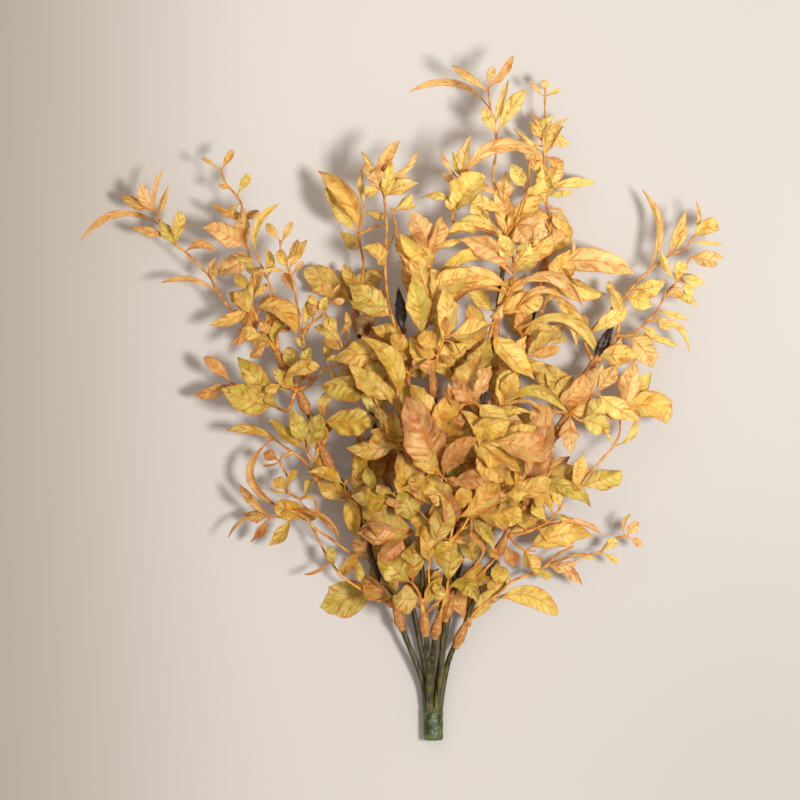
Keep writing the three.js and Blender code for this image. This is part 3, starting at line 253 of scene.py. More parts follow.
spray("b4", "b", 228, [
    [62, -17, 240, -12, 248, -8, 259, -5, 271, 0, 284],
    [58, -17, 238, -26, 244, -30, 252],
], [
    [-15, 243, 14, 229, 9, 0.25, 8, 1], [-14, 243, -27, 262, 13, 0, 12, 1],
    [-11, 249, 5, 262, 13, 0, 10, 0], [-10, 251, 7, 244, 13, 0.1, 4, 0],
    [-8, 258, -14, 296, 15, -0.05, 10, 0], [-5, 272, 8, 284, 13, 0, 10, 0],
    [-26, 244, -15, 228, 11, 0, 8, 2], [-30, 252, -40, 247, 8, 0, 4, 1],
])
spray("b5", "b", 250, [
    [46, -20, 258, -26, 272, -30, 292, -31, 310, -30, 332, -32, 352, -34, 362],
    [50, -30, 318, -24, 329, -27, 343],
    [50, -14, 262, -3, 270, -2, 290, -1, 313],
], [
    [-34, 360, -22, 386, 9, 0.1, 8, 3], [-33, 358, -10, 381, 5, -0.1, 4, 2],
    [-34, 362, -46, 379, 3, 0, 4, 1], [-32, 352, -46, 370, 9, -0.1, 6, 3],
    [-32, 352, -38, 367, 12, 0, 10, 3], [-32, 350, -10, 359, 9, 0.1, 8, 1],
    [-32, 350, -16, 364, 8, 0, 3, 3], [-27, 342, -11, 345, 6, 0, 4, 1], [-31, 348, -27, 373, 9, 0, 12, 1],
    [-33, 356, -44, 352, 8, 0, 3, 1], [-27, 340, -14, 352, 8, 0, 6, 1],
    [-31, 306, -46, 317, 13, -0.1, 6, 1], [-1, 310, -21, 326, 10, 0.1, 12, 1],
    [-2, 298, -23, 309, 9, 0, 6, 0], [-2, 296, -25, 320, 10, 0, 2, 2], [-1, 313, -14, 341, 16, 0, 14, 3],
    [-1, 313, 5, 338, 12, 0, 10, 2], [-1, 312, 17, 322, 5, 0.15, 4, 1], [-2, 288, 12, 294, 9, 0.1, 6, 2],
])

# ---- stem c: the front stem
spray("c1", "c", 76, [
    [46, 5, 88, 8, 97, 9, 104],
], [
    [9, 103, 12, 134, 19, 0, 8, 0], [8, 100, 28, 91, 12, 0.35, 4, 0], [7, 95, -4, 84, 2.6, 0, -2, 2],
    [6, 92, 1, 104, 7, 0, 5, 0],
])
spray("c2", "c", 122, [
    [68, 10, 134, 13, 150, 10, 166, 4, 173],
    [62, 11, 130, 19, 140, 24, 150],
], [
    [4, 173, -17, 223, 27, 0, 12, 3], [6, 172, 28, 196, 14, 0.15, 10, 3],
    [10, 166, 36, 169, 13, 0.12, 6, 3], [6, 171, 15, 166, 7, 0.1, 3, 3], [22, 147, 31, 124, 13, 0.1, 6, 2],
    [24, 150, 50, 152, 18, -0.1, 8, 1], [22, 146, 38, 126, 8, 0.1, 12, 0], [12, 152, -6, 168, 10, 0, 4, 2],
    [13, 148, 22, 165, 11, 0, 8, 1],
])
spray("c3", "c", 186, [
    [76, 5, 196, 9, 208, 16, 217, 26, 219],
    [72, 6, 194, 20, 197, 34, 193],
], [
    [34, 193, 71, 184, 19, 0.08, 4, 3], [22, 197, 48, 207, 14, 0.1, 4, 1],
    [9, 207, -14, 230, 14, 0.1, 6, 1], [26, 219, 36, 242, 9, 0.05, 8, 3], [24, 219, 12, 233, 12, 0, 6, 3],
    [14, 215, 29, 190, 8, 0.2, 6, 1], [8, 200, 18, 213, 9, 0, 4, 2], [5, 196, -5, 212, 9, 0, -6, 2],
])
spray("c4", "c", 232, [
    [72, 0, 244, 4, 254, 8, 262],
], [
    [8, 262, 6, 273, 7, 0, 4, 2], [6, 258, 17, 250, 3, 0.2, 3, 1], [2, 250, 13, 245, 7, 0, 4, 2],
    [1, 247, -6, 238, 11, 0, 6, 2], [3, 252, -9, 262, 12, 0, 6, 1],
])

# ---- stem d: the longest stem, right of the middle
spray("d1", "d", 88, [
    [30, 14, 98, 22, 107, 31, 120, 36, 133],
    [24, 14, 96, 28, 106, 44, 124, 47, 138],
], [
    [36, 132, 38, 158, 8, 0.1, 10, 0], [45, 128, 53, 114, 9, 0, 2, 3], [27, 114, 18, 141, 14, 0, 10, 0],
    [33, 125, 41, 121, 6, 0, 3, 1], [24, 104, 36, 96, 8, 0, -60, 0],
])
spray("d2", "d", 150, [
    [54, 22, 161, 30, 166, 36, 173, 36, 181],
    [44, 23, 160, 34, 161, 44, 158],
], [
    [36, 177, 57, 171, 14, 0.1, 6, 1], [44, 158, 52, 141, 15, 0, 8, 1], [44, 158, 54, 181, 14, 0, 12, 1],
    [36, 180, 45, 203, 12, 0, 8, 1], [40, 159, 61, 161, 11, 0.1, 4, 1], [32, 168, 20, 184, 11, 0, 6, 2],
])
spray("d3", "d", 202, [
    [52, 31, 213, 36, 212, 41, 212, 45, 219],
    [44, 31, 216, 25, 228, 21, 241],
], [
    [42, 213, 86, 213, 8, 0.32, 6, 0], [43, 214, 73, 210, 2.6, 0.25, 3, 2],
    [42, 212, 62, 212, 3, 0.1, 2, 1], [28, 222, 33, 246, 13, 0, 8, 1], [23, 235, 9, 248, 12, 0, 8, 1],
    [21, 240, 29, 256, 12, 0, 6, 1], [38, 212, 56, 203, 12, 0, 2, 3], [45, 219, 52, 238, 13, 0, 8, 1],
])
spray("d4", "d", 268, [
    [50, 44, 280, 50, 290, 51, 301, 51, 312],
    [44, 44, 276, 51, 277, 62, 285, 72, 292],
    [46, 39, 262, 34, 256, 27, 256],
], [
    [50, 291, 2, 289, 14, -0.2, 8, 1], [49, 288, 3, 271, 7, -0.25, 4, 2],
    [51, 303, 16, 323, 16, -0.12, 8, 3], [51, 300, 3, 300, 9, -0.28, 4, 1],
    [51, 306, 62, 320, 11, 0, 10, 1], [51, 302, 68, 318, 13, 0, 4, 0], [51, 291, 95, 281, 9, 0.3, 8, 3],
    [53, 279, 84, 286, 5, 0.28, 3, 2], [30, 256, 23, 282, 14, 0, 8, 1], [34, 256, 14, 260, 12, 0, 4, 1],
    [51, 310, 42, 326, 12, 0, 8, 1], [46, 284, 36, 274, 9, 0, 2, 2],
])
spray("d5", "d", 315, [
    [42, 48, 328, 46, 342, 40, 355, 38, 365, 40, 378, 40, 390, 37, 405, 35, 420],
    [50, 48, 326, 54, 336, 58, 346, 58, 358],
    [48, 45, 324, 30, 330, 13, 334, 14, 350, 18, 362],
], [
    [40, 390, 32, 408, 8, 0, 4, 1], [40, 389, 59, 419, 10, 0.05, 8, 0], [39, 396, 48, 425, 6, 0, 6, 1],
    [37, 406, -15, 421, 5, -0.24, -60, 2], [35, 418, 12, 435, 5, 0, 2, 2], [35, 420, 38, 434, 6, 0, 6, 3],
    [35, 420, 51, 441, 5, -0.05, 4, 2], [44, 346, 46, 367, 12, 0, 8, 3], [52, 333, 73, 326, 17, 0.1, 8, 3],
    [52, 333, 63, 319, 14, 0, 4, 3], [42, 350, 9, 361, 8, -0.12, 5, 3], [46, 340, 22, 352, 9, 0, 6, 1],
    [42, 325, 12, 331, 8, -0.22, 8, 0], [36, 328, 24, 346, 12, 0, 6, 0], [18, 362, 68, 377, 11, 0.25, 6, 3],
    [18, 361, 24, 389, 9, 0.05, 8, 3], [17, 361, 5, 380, 3, 0.1, 4, 2], [16, 358, 6, 366, 5, 0, 2, 2],
    [18, 362, 12, 379, 7, 0, 5, 0], [14, 352, 8, 344, 8, 0.1, 3, 1], [16, 357, 33, 363, 9, 0, 5, 1],
    [58, 356, 50, 371, 10, 0, 6, 0], [58, 350, 70, 362, 11, 0, 6, 1], [14, 346, -8, 350, 6, -0.15, 3, 0],
])

# ---- stem e: the rear stem, right of the middle
spray("e1", "e", 138, [
    [26, 28, 148, 38, 150, 50, 156, 58, 166],
], [
    [56, 163, 75, 211, 17, -0.05, 8, 3], [50, 156, 62, 145, 10, 0, 4, 1], [56, 164, 88, 184, 15, 0, 4, 3],
    [42, 152, 34, 136, 11, 0, -60, 1],
])
spray("e2", "e", 196, [
    [30, 45, 208, 52, 222, 55, 238, 60, 248],
    [26, 55, 238, 50, 250, 48, 262],
], [
    [60, 248, 81, 254, 8, 0, 4, 2], [57, 243, 67, 245, 8, 0, 4, 1], [59, 247, 80, 263, 11, 0.1, 6, 1],
    [56, 240, 72, 240, 8, 0.1, 3, 1], [54, 236, 42, 252, 14, 0, 8, 1], [54, 232, 38, 236, 13, 0, 6, 1],
    [52, 244, 60, 262, 10, 0, 5, 1], [48, 214, 70, 196, 15, 0, -60, 1],
])
spray("e3", "e", 250, [
    [28, 61, 261, 56, 264, 52, 268],
    [26, 62, 262, 70, 278, 75, 293, 74, 306, 84, 307, 92, 310],
], [
    [54, 265, 107, 248, 8, 0.3, 8, 0], [58, 263, 80, 262, 12, 0.15, 4, 1],
    [76, 306, 129, 302, 18, 0.1, 8, 3], [74, 301, 112, 289, 16, -0.05, 4, 1],
    [90, 309, 91, 323, 2.4, 0, 4, 2], [74, 290, 92, 256, 10, 0.15, 8, 1], [72, 283, 83, 293, 8, 0, 4, 1],
    [66, 270, 86, 258, 12, 0, -60, 1],
])
spray("e4", "e", 304, [
    [24, 73, 316, 76, 335, 73, 350, 72, 372, 71, 390, 72, 405, 72, 417],
    [32, 75, 330, 68, 345, 62, 360, 62, 375],
], [
    [72, 417, 73, 427, 7, 0, 4, 3], [72, 416, 63, 426, 3, 0.1, 2, 2], [72, 416, 82, 421, 3, 0, 2, 1],
    [71, 388, 76, 405, 8, 0.1, 6, 0], [71, 386, 62, 400, 7, 0, 6, 1], [71, 384, 52, 396, 3, 0.1, 2, 1],
    [71, 391, 64, 405, 3, 0, 3, 2], [71, 389, 87, 402, 3, 0.1, 3, 2], [72, 375, 84, 397, 9, 0.15, 4, 2],
    [72, 378, 84, 371, 8, 0, 3, 2], [71, 380, 74, 399, 9, 0, 9, 1], [62, 375, 60, 388, 8, 0, 6, 1],
    [72, 370, 60, 380, 8, 0, 4, 3], [73, 357, 105, 361, 7, 0.05, 2, 1], [73, 352, 90, 355, 5, 0, 2, 0],
    [75, 344, 85, 342, 3, 0.1, 1, 2], [72, 361, 61, 374, 11, 0, 8, 1], [73, 356, 82, 373, 11, 0, 6, 1],
    [73, 346, 64, 358, 12, 0, 8, 0], [75, 342, 84, 332, 11, 0.1, 5, 1], [75, 338, 57, 342, 11, 0, 6, 1],
    [76, 333, 82, 323, 10, 0.1, 4, 3], [73, 350, 71, 370, 12, 0, 12, 0], [72, 395, 88, 386, 8, 0, -60, 1],
])

# ---- stem f: the right stem, ending in a bare tip
spray("f1", "f", 70, [
    [22, 20, 80, 27, 84, 40, 94, 52, 104, 63, 108, 72, 113, 90, 120, 107, 122, 112, 128, 120, 132, 125, 132],
    [26, 72, 113, 80, 121, 90, 126],
    [16, 27, 84, 33, 89, 40, 90],
], [
    [39, 90, 81, 80, 15, 0.2, -60, 1], [51, 103, 38, 112, 11, 0, 6, 1], [63, 108, 76, 106, 6, 0.1, 1, 0],
    [73, 114, 93, 118, 9, -0.1, 2, 3], [76, 114, 96, 101, 8, 0.12, -3, 3],
    [92, 121, 104, 118, 2.6, 0, 0, 1], [107, 122, 119, 115, 4, 0.1, 0, 1], [108, 123, 118, 131, 7, 0, 3, 1],
    [125, 132, 133, 140, 9, 0.2, 4, 3], [125, 132, 134, 126, 5, 0.1, 0, 3],
    [124, 132, 127, 147, 2.6, 0.2, 3, 2],
])
spray("f2", "f", 128, [
    [34, 50, 136, 58, 135, 72, 141, 80, 149, 84, 155],
    [28, 48, 134, 56, 125, 66, 123],
], [
    [60, 124, 103, 133, 18, 0.12, 6, 1], [58, 124, 66, 107, 14, 0, 4, 1],
    [72, 141, 108, 134, 5, 0.12, 3, 3], [73, 142, 64, 155, 10, 0, 5, 1], [60, 136, 54, 149, 8, 0, 5, 0],
    [66, 139, 85, 129, 11, 0, 2, 1], [78, 147, 90, 144, 7, 0, 3, 1],
])
spray("f3", "f", 160, [
    [38, 67, 170, 74, 163, 84, 162, 93, 163],
    [28, 93, 163, 98, 170, 108, 182, 116, 191, 120, 200, 120, 209],
], [
    [72, 165, 101, 152, 12, 0.2, 6, 0], [70, 168, 90, 157, 12, 0.25, 12, 0], [76, 163, 66, 152, 9, 0, 6, 1],
    [93, 163, 96, 187, 12, 0.1, 6, 1], [94, 164, 121, 175, 16, 0, 2, 0],
    [116, 191, 130, 208, 5, -0.2, 4, 0], [116, 191, 109, 202, 3, 0, 3, 1],
    [120, 208, 130, 247, 15, 0, 10, 3], [120, 209, 151, 206, 19, 0.32, 6, 1],
    [120, 209, 140, 238, 14, 0, 2, 0], [120, 208, 107, 219, 9, 0, 4, 3],
])
spray("f4", "f", 206, [
    [38, 90, 215, 97, 221, 105, 225],
    [32, 88, 212, 96, 207, 108, 213],
    [34, 84, 206, 78, 214, 76, 226],
], [
    [97, 208, 111, 222, 14, 0, 8, 0], [94, 208, 113, 200, 14, 0.1, 2, 0], [80, 212, 62, 209, 16, 0, 6, 3],
    [100, 222, 108, 244, 13, 0, 6, 3], [105, 225, 116, 242, 12, 0, 6, 3], [76, 226, 85, 237, 5, 0, 2, 2],
    [77, 218, 90, 235, 10, 0.1, 6, 0], [88, 210, 89, 186, 13, 0, 8, 3],
])
spray("f5", "f", 240, [
    [22, 101, 250, 98, 259, 108, 272, 114, 277, 117, 287],
    [28, 109, 251, 118, 262, 121, 283, 130, 295, 137, 302, 151, 313, 162, 318, 168, 326],
    [36, 118, 262, 128, 263, 143, 277, 150, 290, 157, 297, 165, 312],
], [
    [137, 302, 135, 356, 5, -0.18, -4, 2], [151, 313, 162, 342, 7, 0, 6, 2],
    [155, 315, 163, 333, 5, 0, 4, 1], [168, 326, 169, 348, 2.6, -0.1, 3, 2],
    [167, 324, 183, 334, 10, 0.1, 5, 1], [165, 312, 182, 309, 12, 0, 4, 3],
    [166, 322, 186, 321, 3, 0, 2, 1], [165, 312, 186, 312, 3, 0.1, 0, 1],
    [157, 297, 146, 316, 5, 0.1, 3, 1], [155, 296, 160, 310, 9, 0, 5, 0],
    [157, 297, 166, 287, 6, 0.1, 3, 0], [150, 289, 170, 281, 7, 0.1, 4, 0],
    [148, 287, 160, 291, 7, 0, 4, 3], [117, 285, 113, 297, 5, 0, 3, 1],
    [128, 292, 149, 297, 12, -0.1, 4, 0], [124, 288, 141, 281, 13, 0, 4, 1],
    [144, 278, 164, 272, 5, 0, 3, 1], [142, 276, 152, 266, 8, 0, 4, 2], [137, 271, 165, 251, 5, 0.25, 2, 0],
    [124, 263, 141, 241, 16, 0.1, 6, 3], [121, 262, 117, 241, 12, 0, 3, 1],
    [128, 263, 157, 255, 4.5, 0.05, 3, 1], [126, 263, 146, 248, 3, 0, 2, 1],
    [134, 268, 143, 261, 8, 0, 5, 1], [160, 300, 176, 296, 9, 0, -60, 1],
])

# ---------------------------------------------------------------- curves

CURVE_SAMPLES = 12  # samples between two layout points before a curve is spaced evenly


def smooth_line(points, step):
    """Points about "step" apart on a smooth curve through the given points."""
    first = points[0] * 2 - points[1]
    last = points[-1] * 2 - points[-2]
    padded = [first] + points + [last]
    dense = []
    for i in range(1, len(padded) - 2):
        a, b, c, d = padded[i - 1:i + 3]
        for k in range(CURVE_SAMPLES):
            t = k / CURVE_SAMPLES
            cubic = (3 * b - a - 3 * c + d) * t ** 3 + (2 * a - 5 * b + 4 * c - d) * t ** 2
            dense.append((cubic + (c - a) * t + 2 * b) / 2)
    dense.append(points[-1])
    return spaced(dense, step)


def spaced(dense, step):
    """Even steps along a polyline."""
    lengths = [(q - p).length for p, q in zip(dense, dense[1:])]
    total = sum(lengths)
    count = max(2, round(total / step))
    line = [dense[0]]
    travelled = 0
    i = 0
    for k in range(1, count):
        target = total * k / count
        while travelled + lengths[i] < target:
            travelled += lengths[i]
            i += 1
        line.append(dense[i].lerp(dense[i + 1], (target - travelled) / lengths[i]))
    line.append(dense[-1])
    return line


def nearest(lines, x, y):
    """The point of a set of lines that is nearest to (x, y) in plan, and its distance in plan."""
    best = None
    best_distance = math.inf
    for line in lines:
        for p, q in zip(line, line[1:]):
            along = q - p
            dot = (x - p.x) * along.x + (y - p.y) * along.y
            share = min(max(dot / (along.x ** 2 + along.y ** 2), 0), 1)
            point = p + along * share
            distance = math.hypot(point.x - x, point.y - y)
            if distance < best_distance:
                best = point
                best_distance = distance
    return best, best_distance


def value_between(points, t):
    """A smooth value at t from a list of (t, value) points."""
    for (t0, v0), (t1, v1) in zip(points, points[1:]):
        if t <= t1:
            share = (t - t0) / (t1 - t0)
            eased = share * share * (3 - 2 * share)
            return v0 + (v1 - v0) * (share + eased) / 2
    return points[-1][1]


# ---------------------------------------------------------------- mesh building

class Shape:
    """Vertices and faces of one object, in layout millimetres, with a mark and a tint at each vertex."""

    def __init__(self):
        self.points = []
        self.faces = []
        self.marks = []
        self.tints = []
        self.sharp = set()

    def add(self, point, mark=(0, 0, 0), tint=(1, 1, 1)):
        self.points.append(point)
        self.marks.append(mark)
        self.tints.append(tint)
        return len(self.points) - 1

    def join_rings(self, rings, first, last):
        """Faces between rings of vertices, closed to a vertex at each end."""
        sides = len(rings[0])
        for k in range(sides):
            after = (k + 1) % sides
            self.faces.append((first, rings[0][after], rings[0][k]))
            self.faces.append((last, rings[-1][k], rings[-1][after]))
            for ring, over in zip(rings, rings[1:]):
                self.faces.append((ring[k], ring[after], over[after], over[k]))

    def make(self, name, material):
        """The object, riding on the model's one body."""
        mesh = bpy.data.meshes.new(name)
        places = [LAYOUT_ORIGIN + point * MM for point in self.points]
        mesh.from_pydata(places, [], self.faces)
        marks = mesh.attributes.new("mark", "FLOAT_VECTOR", "POINT")
        marks.data.foreach_set("vector", [value for mark in self.marks for value in mark])
        tints = mesh.attributes.new("tint", "FLOAT_COLOR", "POINT")
        tints.data.foreach_set("color", [value for tint in self.tints for value in (*tint, 1)])
        mesh.polygons.foreach_set("use_smooth", [True] * len(mesh.polygons))
        for edge in mesh.edges:
            if tuple(sorted(edge.vertices)) in self.sharp:
                edge.use_edge_sharp = True
        mesh.materials.append(material)
        mesh.validate()
        piece = bpy.data.objects.new(name, mesh)
        bpy.context.scene.collection.objects.link(piece)
        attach(piece, "root")
        return piece


def tube_frames(line):
    """Two directions across a line at each of its points, carried along without twist."""
    frames = []
    across = None
    for i in range(len(line)):
        tangent = (line[min(i + 1, len(line) - 1)] - line[max(i - 1, 0)]).normalized()
        if across is None:
            helper = Vector((0, 0, 1)) if abs(tangent.z) < 0.9 else Vector((1, 0, 0))
            across = helper.cross(tangent)
        across = (across - tangent * across.dot(tangent)).normalized()
        frames.append((across, tangent.cross(across), tangent))
    return frames


def add_tube(shape, line, radius_at, sides, mark=(0, 0, 0), tint=(1, 1, 1)):
    """A closed tube along a line. radius_at(share of the length, angle) gives its radius."""
    rings = []
    for i, (point, (across, up, tangent)) in enumerate(zip(line, tube_frames(line))):
        ring = []
        for k in range(sides):
            angle = 2 * math.pi * k / sides
            radius = radius_at(i / (len(line) - 1), angle)
            offset = across * (math.cos(angle) * radius) + up * (math.sin(angle) * radius)
            ring.append(shape.add(point + offset, mark, tint))
        rings.append(ring)
    start_tangent = tube_frames(line[:2])[0][2]
    end_tangent = tube_frames(line[-2:])[0][2]
    first = shape.add(line[0] - start_tangent * radius_at(0, 0) * 0.5, mark, tint)
    last = shape.add(line[-1] + end_tangent * radius_at(1, 0) * 0.8, mark, tint)
    shape.join_rings(rings, first, last)


# ---------------------------------------------------------------- stub, stems and tips

STEM_STEP = 3
STEM_SIDES = 12
STEM_FOOT_DEPTH = 4  # how deep the stems run into the stub
STEM_FLARE = 0.9  # how much thicker a stem is where it leaves the stub
STUB_STEPS, STUB_SIDES = 30, 40
STUB_ROUNDING = 1.5  # how far the stub's rounded end stands past its end face
TIP_STEPS, TIP_SIDES = 36, 30

STEM_LINES = {}
for stem_name, stem_points in STEMS.items():
    STEM_LINES[stem_name] = smooth_line([Vector(p) for p in stem_points], STEM_STEP)


def stem_piece(name, material):
    """A stem with fine ridges along it, thicker where it leaves the stub."""
    line = STEM_LINES[name]
    into_stub = Vector((line[0].x * 0.8, line[0].y - STEM_FOOT_DEPTH, line[0].z))
    phase = ord(name)

    def radius_at(t, angle):
        taper = STEM_RADIUS + (STEM_END_RADIUS - STEM_RADIUS) * t
        flare = STEM_FLARE * math.exp(-t * 22)
        ridges = 0.07 * math.sin(5 * angle + phase) + 0.04 * math.sin(9 * angle + 40 * t)
        lumps = 0.1 * noise.noise(Vector((t * 45, math.cos(angle), math.sin(angle) + phase)))
        return taper + flare + ridges + lumps

    shape = Shape()
    add_tube(shape, [into_stub] + line, radius_at, STEM_SIDES)
    piece = shape.make(f"stem_{name}_skin", material)
    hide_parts(f"stem_{name}")


def stub_piece(material):
    """The base stub: a moulded plug, lumpy all round, with rounded ends."""
    profile = [(0, 0.84), (0.035, 0.93), (0.1, 0.97), (0.45, 0.93), (0.75, 0.98), (0.9, 0.96)]
    profile += [(0.97, 0.86), (1, 0.6)]

    def radius_at(t, angle):
        lobes = 0.035 * math.cos(6 * angle) * min(1, t * 2)
        place = Vector((math.cos(angle) * 1.6, math.sin(angle) * 1.6, t * 5))
        lumps = 0.08 * noise.noise(place) + 0.035 * noise.noise(place * 3.1)
        return STUB_RADIUS * min(value_between(profile, t) + lobes + lumps, 1.02)

    steps = range(STUB_STEPS + 1)
    line = [Vector((0, STUB_LENGTH * k / STUB_STEPS, STUB_RADIUS)) for k in steps]
    shape = Shape()
    add_tube(shape, line, radius_at, STUB_SIDES)
    for point in shape.points:
        point.z = max(point.z, 0)
        point.y = min(max(point.y, 0), STUB_LENGTH + STUB_ROUNDING)
    piece = shape.make("base_stub_skin", material)
    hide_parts("base_stub")


def tip_piece(name, material):
    """The bare end of a stem: a ribbed bud of folded dark scales that comes to a point."""
    line = STEM_LINES[name]
    direction = (line[-1] - line[-3]).normalized()
    profile = [(0, 0.36), (0.12, 0.55), (0.35, 0.98), (0.55, 0.92), (0.8, 0.5), (1, 0.06)]

    def radius_at(t, angle):
        ribs = 1 + 0.16 * math.cos(5 * angle + 6 * t)
        scales = 1 + 0.1 * (1 - (t * 3.5) % 1) * math.sin(math.pi * t)
        return TIP_RADIUS * 0.86 * value_between(profile, t) * ribs * scales

    points = [line[-1] + direction * (TIP_LENGTH * k / TIP_STEPS) for k in range(TIP_STEPS + 1)]
    shape = Shape()
    add_tube(shape, points, radius_at, TIP_SIDES)
    piece = shape.make(f"stem_tip_{name}_skin", material)
    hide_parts(f"stem_tip_{name}")


# ---------------------------------------------------------------- sleeves and twigs

TWIG_STEP = 2.5
TWIG_SIDES = 8
NODE_SPACING = 13  # a twig swells a little at steps of this length
NODE_SWELLING = 0.32
NODE_LENGTH = 1.6
SLEEVE_STEPS, SLEEVE_SIDES = 24, 24
SLEEVE_MARK = (1, 0, 0)  # tells sleeves from twigs in their material
OUTLET_HEIGHT = 0.3  # twigs leave a sleeve this share of its length above its middle
BRANCH_SCALE = 0.8  # how thick a branch of a twig starts, next to a twig


def stem_at(name, y):
    """The point of a stem at a distance along y, and the stem's direction there."""
    line = STEM_LINES[name]
    for p, q in zip(line, line[1:]):
        if q.y >= y:
            return p.lerp(q, (y - p.y) / (q.y - p.y)), (q - p).normalized()
    return line[-1], (line[-1] - line[-2]).normalized()


def add_sleeve(shape, point, direction):
    """A teardrop sleeve with ridges round its stem, with a collar at its lower end."""
    profile = [(0, 0.6), (0.07, 0.66), (0.1, 0.52), (0.18, 0.82), (0.28, 0.94), (0.45, 0.8)]
    profile += [(0.7, 0.58), (1, 0.48)]
    start = point - direction * (SLEEVE_LENGTH / 2)
    line = [start + direction * (SLEEVE_LENGTH * k / SLEEVE_STEPS) for k in range(SLEEVE_STEPS + 1)]

    def radius_at(t, angle):
        ridges = 1 + 0.09 * math.cos(7 * angle + 2 * t) * (1 if t > 0.12 else 0)
        lumps = 0.1 * noise.noise(Vector((math.cos(angle) * 2, math.sin(angle) * 2, t * 6 + point.x)))
        return SLEEVE_RADIUS * (value_between(profile, t) * ridges + lumps)

    add_tube(shape, line, radius_at, SLEEVE_SIDES, mark=SLEEVE_MARK)


def sleeve_outlet(sleeve, towards, height):
    """Where a twig leaves a sleeve: in the wall of its upper half, on the side that the twig goes to."""
    point, direction = sleeve
    on_axis = point + direction * (SLEEVE_LENGTH * OUTLET_HEIGHT)
    outward = Vector((towards[0], towards[1], height)) - on_axis
    outward -= direction * outward.dot(direction)
    if outward.length < TWIG_RADIUS:
        outward = Vector((0, 0, 1))
    return on_axis + outward.normalized() * (SLEEVE_RADIUS * 0.5)


def twig_line(twig, earlier, sleeve):
    """A twig's centre line. Its height goes evenly from its foot to its end."""
    end_height = twig[0]
    plan = list(zip(twig[1::2], twig[2::2]))
    start, distance = nearest(earlier, *plan[0])
    grows_from_twig = distance < JOIN_REACH
    if not grows_from_twig:
        start = sleeve_outlet(sleeve, plan[1], end_height)
    plan[0] = (start.x, start.y)
    steps = [math.dist(p, q) for p, q in zip(plan, plan[1:])]
    points = [start]
    for i in range(1, len(plan)):
        share = sum(steps[:i]) / sum(steps)
        height = start.z + (end_height - start.z) * share
        points.append(Vector((*plan[i], max(height, TWIG_RADIUS))))
    return smooth_line(points, TWIG_STEP), grows_from_twig


def add_twig(shape, line, is_branch):
    """A tapering round twig with small swellings along it."""
    length = TWIG_STEP * (len(line) - 1)
    start_radius = TWIG_RADIUS * (BRANCH_SCALE if is_branch else 1)

    def radius_at(t, angle):
        taper = start_radius + (TWIG_END_RADIUS - start_radius) * t
        to_node = (t * length + NODE_SPACING / 2) % NODE_SPACING - NODE_SPACING / 2
        swelling = NODE_SWELLING * math.exp(-(to_node / NODE_LENGTH) ** 2)
        base = 0.6 * math.exp(-t * length / 3)
        return taper + swelling + base * TWIG_RADIUS

    add_tube(shape, line, radius_at, TWIG_SIDES)


# ---------------------------------------------------------------- leaves

# Half-width of a leaf as (share of its length, share of its width): the stalk comes first.
BLADE = [(0, 0.05), (0.09, 0.05), (0.2, 0.42), (0.33, 0.82), (0.48, 1), (0.65, 0.92), (0.82, 0.58)]
BLADE += [(0.94, 0.2), (1, 0.02)]
ROUND_BLADE = [(0, 0.05), (0.1, 0.05), (0.24, 0.36), (0.42, 0.78), (0.62, 1), (0.8, 0.88), (0.93, 0.5)]
ROUND_BLADE += [(1, 0.06)]
SPOON = [(0, 0.12), (0.2, 0.14), (0.36, 0.5), (0.55, 0.92), (0.7, 1), (0.86, 0.78), (0.96, 0.42)]
SPOON += [(1, 0.08)]
STRAP = [(0, 0.16), (0.12, 0.22), (0.35, 0.8), (0.6, 1), (0.8, 0.82), (0.93, 0.42), (1, 0.04)]

# Where the corners of a leaf's cross-section lie, from its left edge to its right edge.
COLUMNS = [-1, -0.78, -0.45, -0.13, 0, 0.13, 0.45, 0.78, 1]
ROW_SPACING = 1.5
ROWS_LEAST, ROWS_MOST = 8, 26

# Each leaf draws its form from these ranges. Its twist is in radians, and its droop a share of its length.
# Fold, cup, wave and crumple are heights as shares of its half-width. Lobes and notches change that width.
TWISTS = (-1.2, 1.2)
FOLDS = (0.15, 1.0)
FOLD_SENSES = [1, 1, -0.6]  # one leaf in three folds the other way, and less
CUPS = (-0.45, 0.45)
DROOPS = (-0.1, 0.3)
WAVES = (0.1, 0.34)
WAVE_COUNTS = (1.5, 3.5)
CRUMPLES = (0.1, 0.3)
NOTCHES = (0.01, 0.05)
LOBES = 0.22  # the greatest change of width by the lobes of its edge
STALK_SHARE = 0.1  # of a leaf's length
TWIST_CENTRE = 0.3  # the share of its length at which a leaf's twist leaves it unturned
DROOP_START = 0.45  # and at which it starts to droop
MIDRIB_RISE = 0.16  # on each face
SKIN_GAP = 0.02  # the lowest that any part of a leaf comes above the surface

LIME, GOLDEN, ORANGE, PEACH, MOTTLED = range(5)  # the tones of the leaves
TONES = [(0.83, 0.725, 0.16), (0.92, 0.745, 0.20), (0.86, 0.56, 0.17), (0.91, 0.65, 0.42)]
TONES += [(0.52, 0.33, 0.12)]
SUNNY = (0.945, 0.875, 0.56)  # the painted sunlight that leaves pale towards, out at the ends of the twigs
SHADE = (0.59, 0.53, 0.34)  # painted shade: the shares of each channel that the deepest leaves keep
HEART = (4, 145)  # the middle of the foliage in plan, where the painted shade on the leaves is deepest
REACH = 225  # from there to the furthest leaves
SUN_FROM, SUN_WIDTH = 20, 370  # leaves get more painted sunlight to the right of this x, by a full step in this width
SUN_SPREAD = (-0.15, 0.15)
HUE_SPREAD = (-0.012, 0.012)
SATURATIONS = (0.9, 1.08)
PALENESS, MOTTLED_PALENESS = 0.55, 0.1  # how far leaves in full painted sunlight have paled
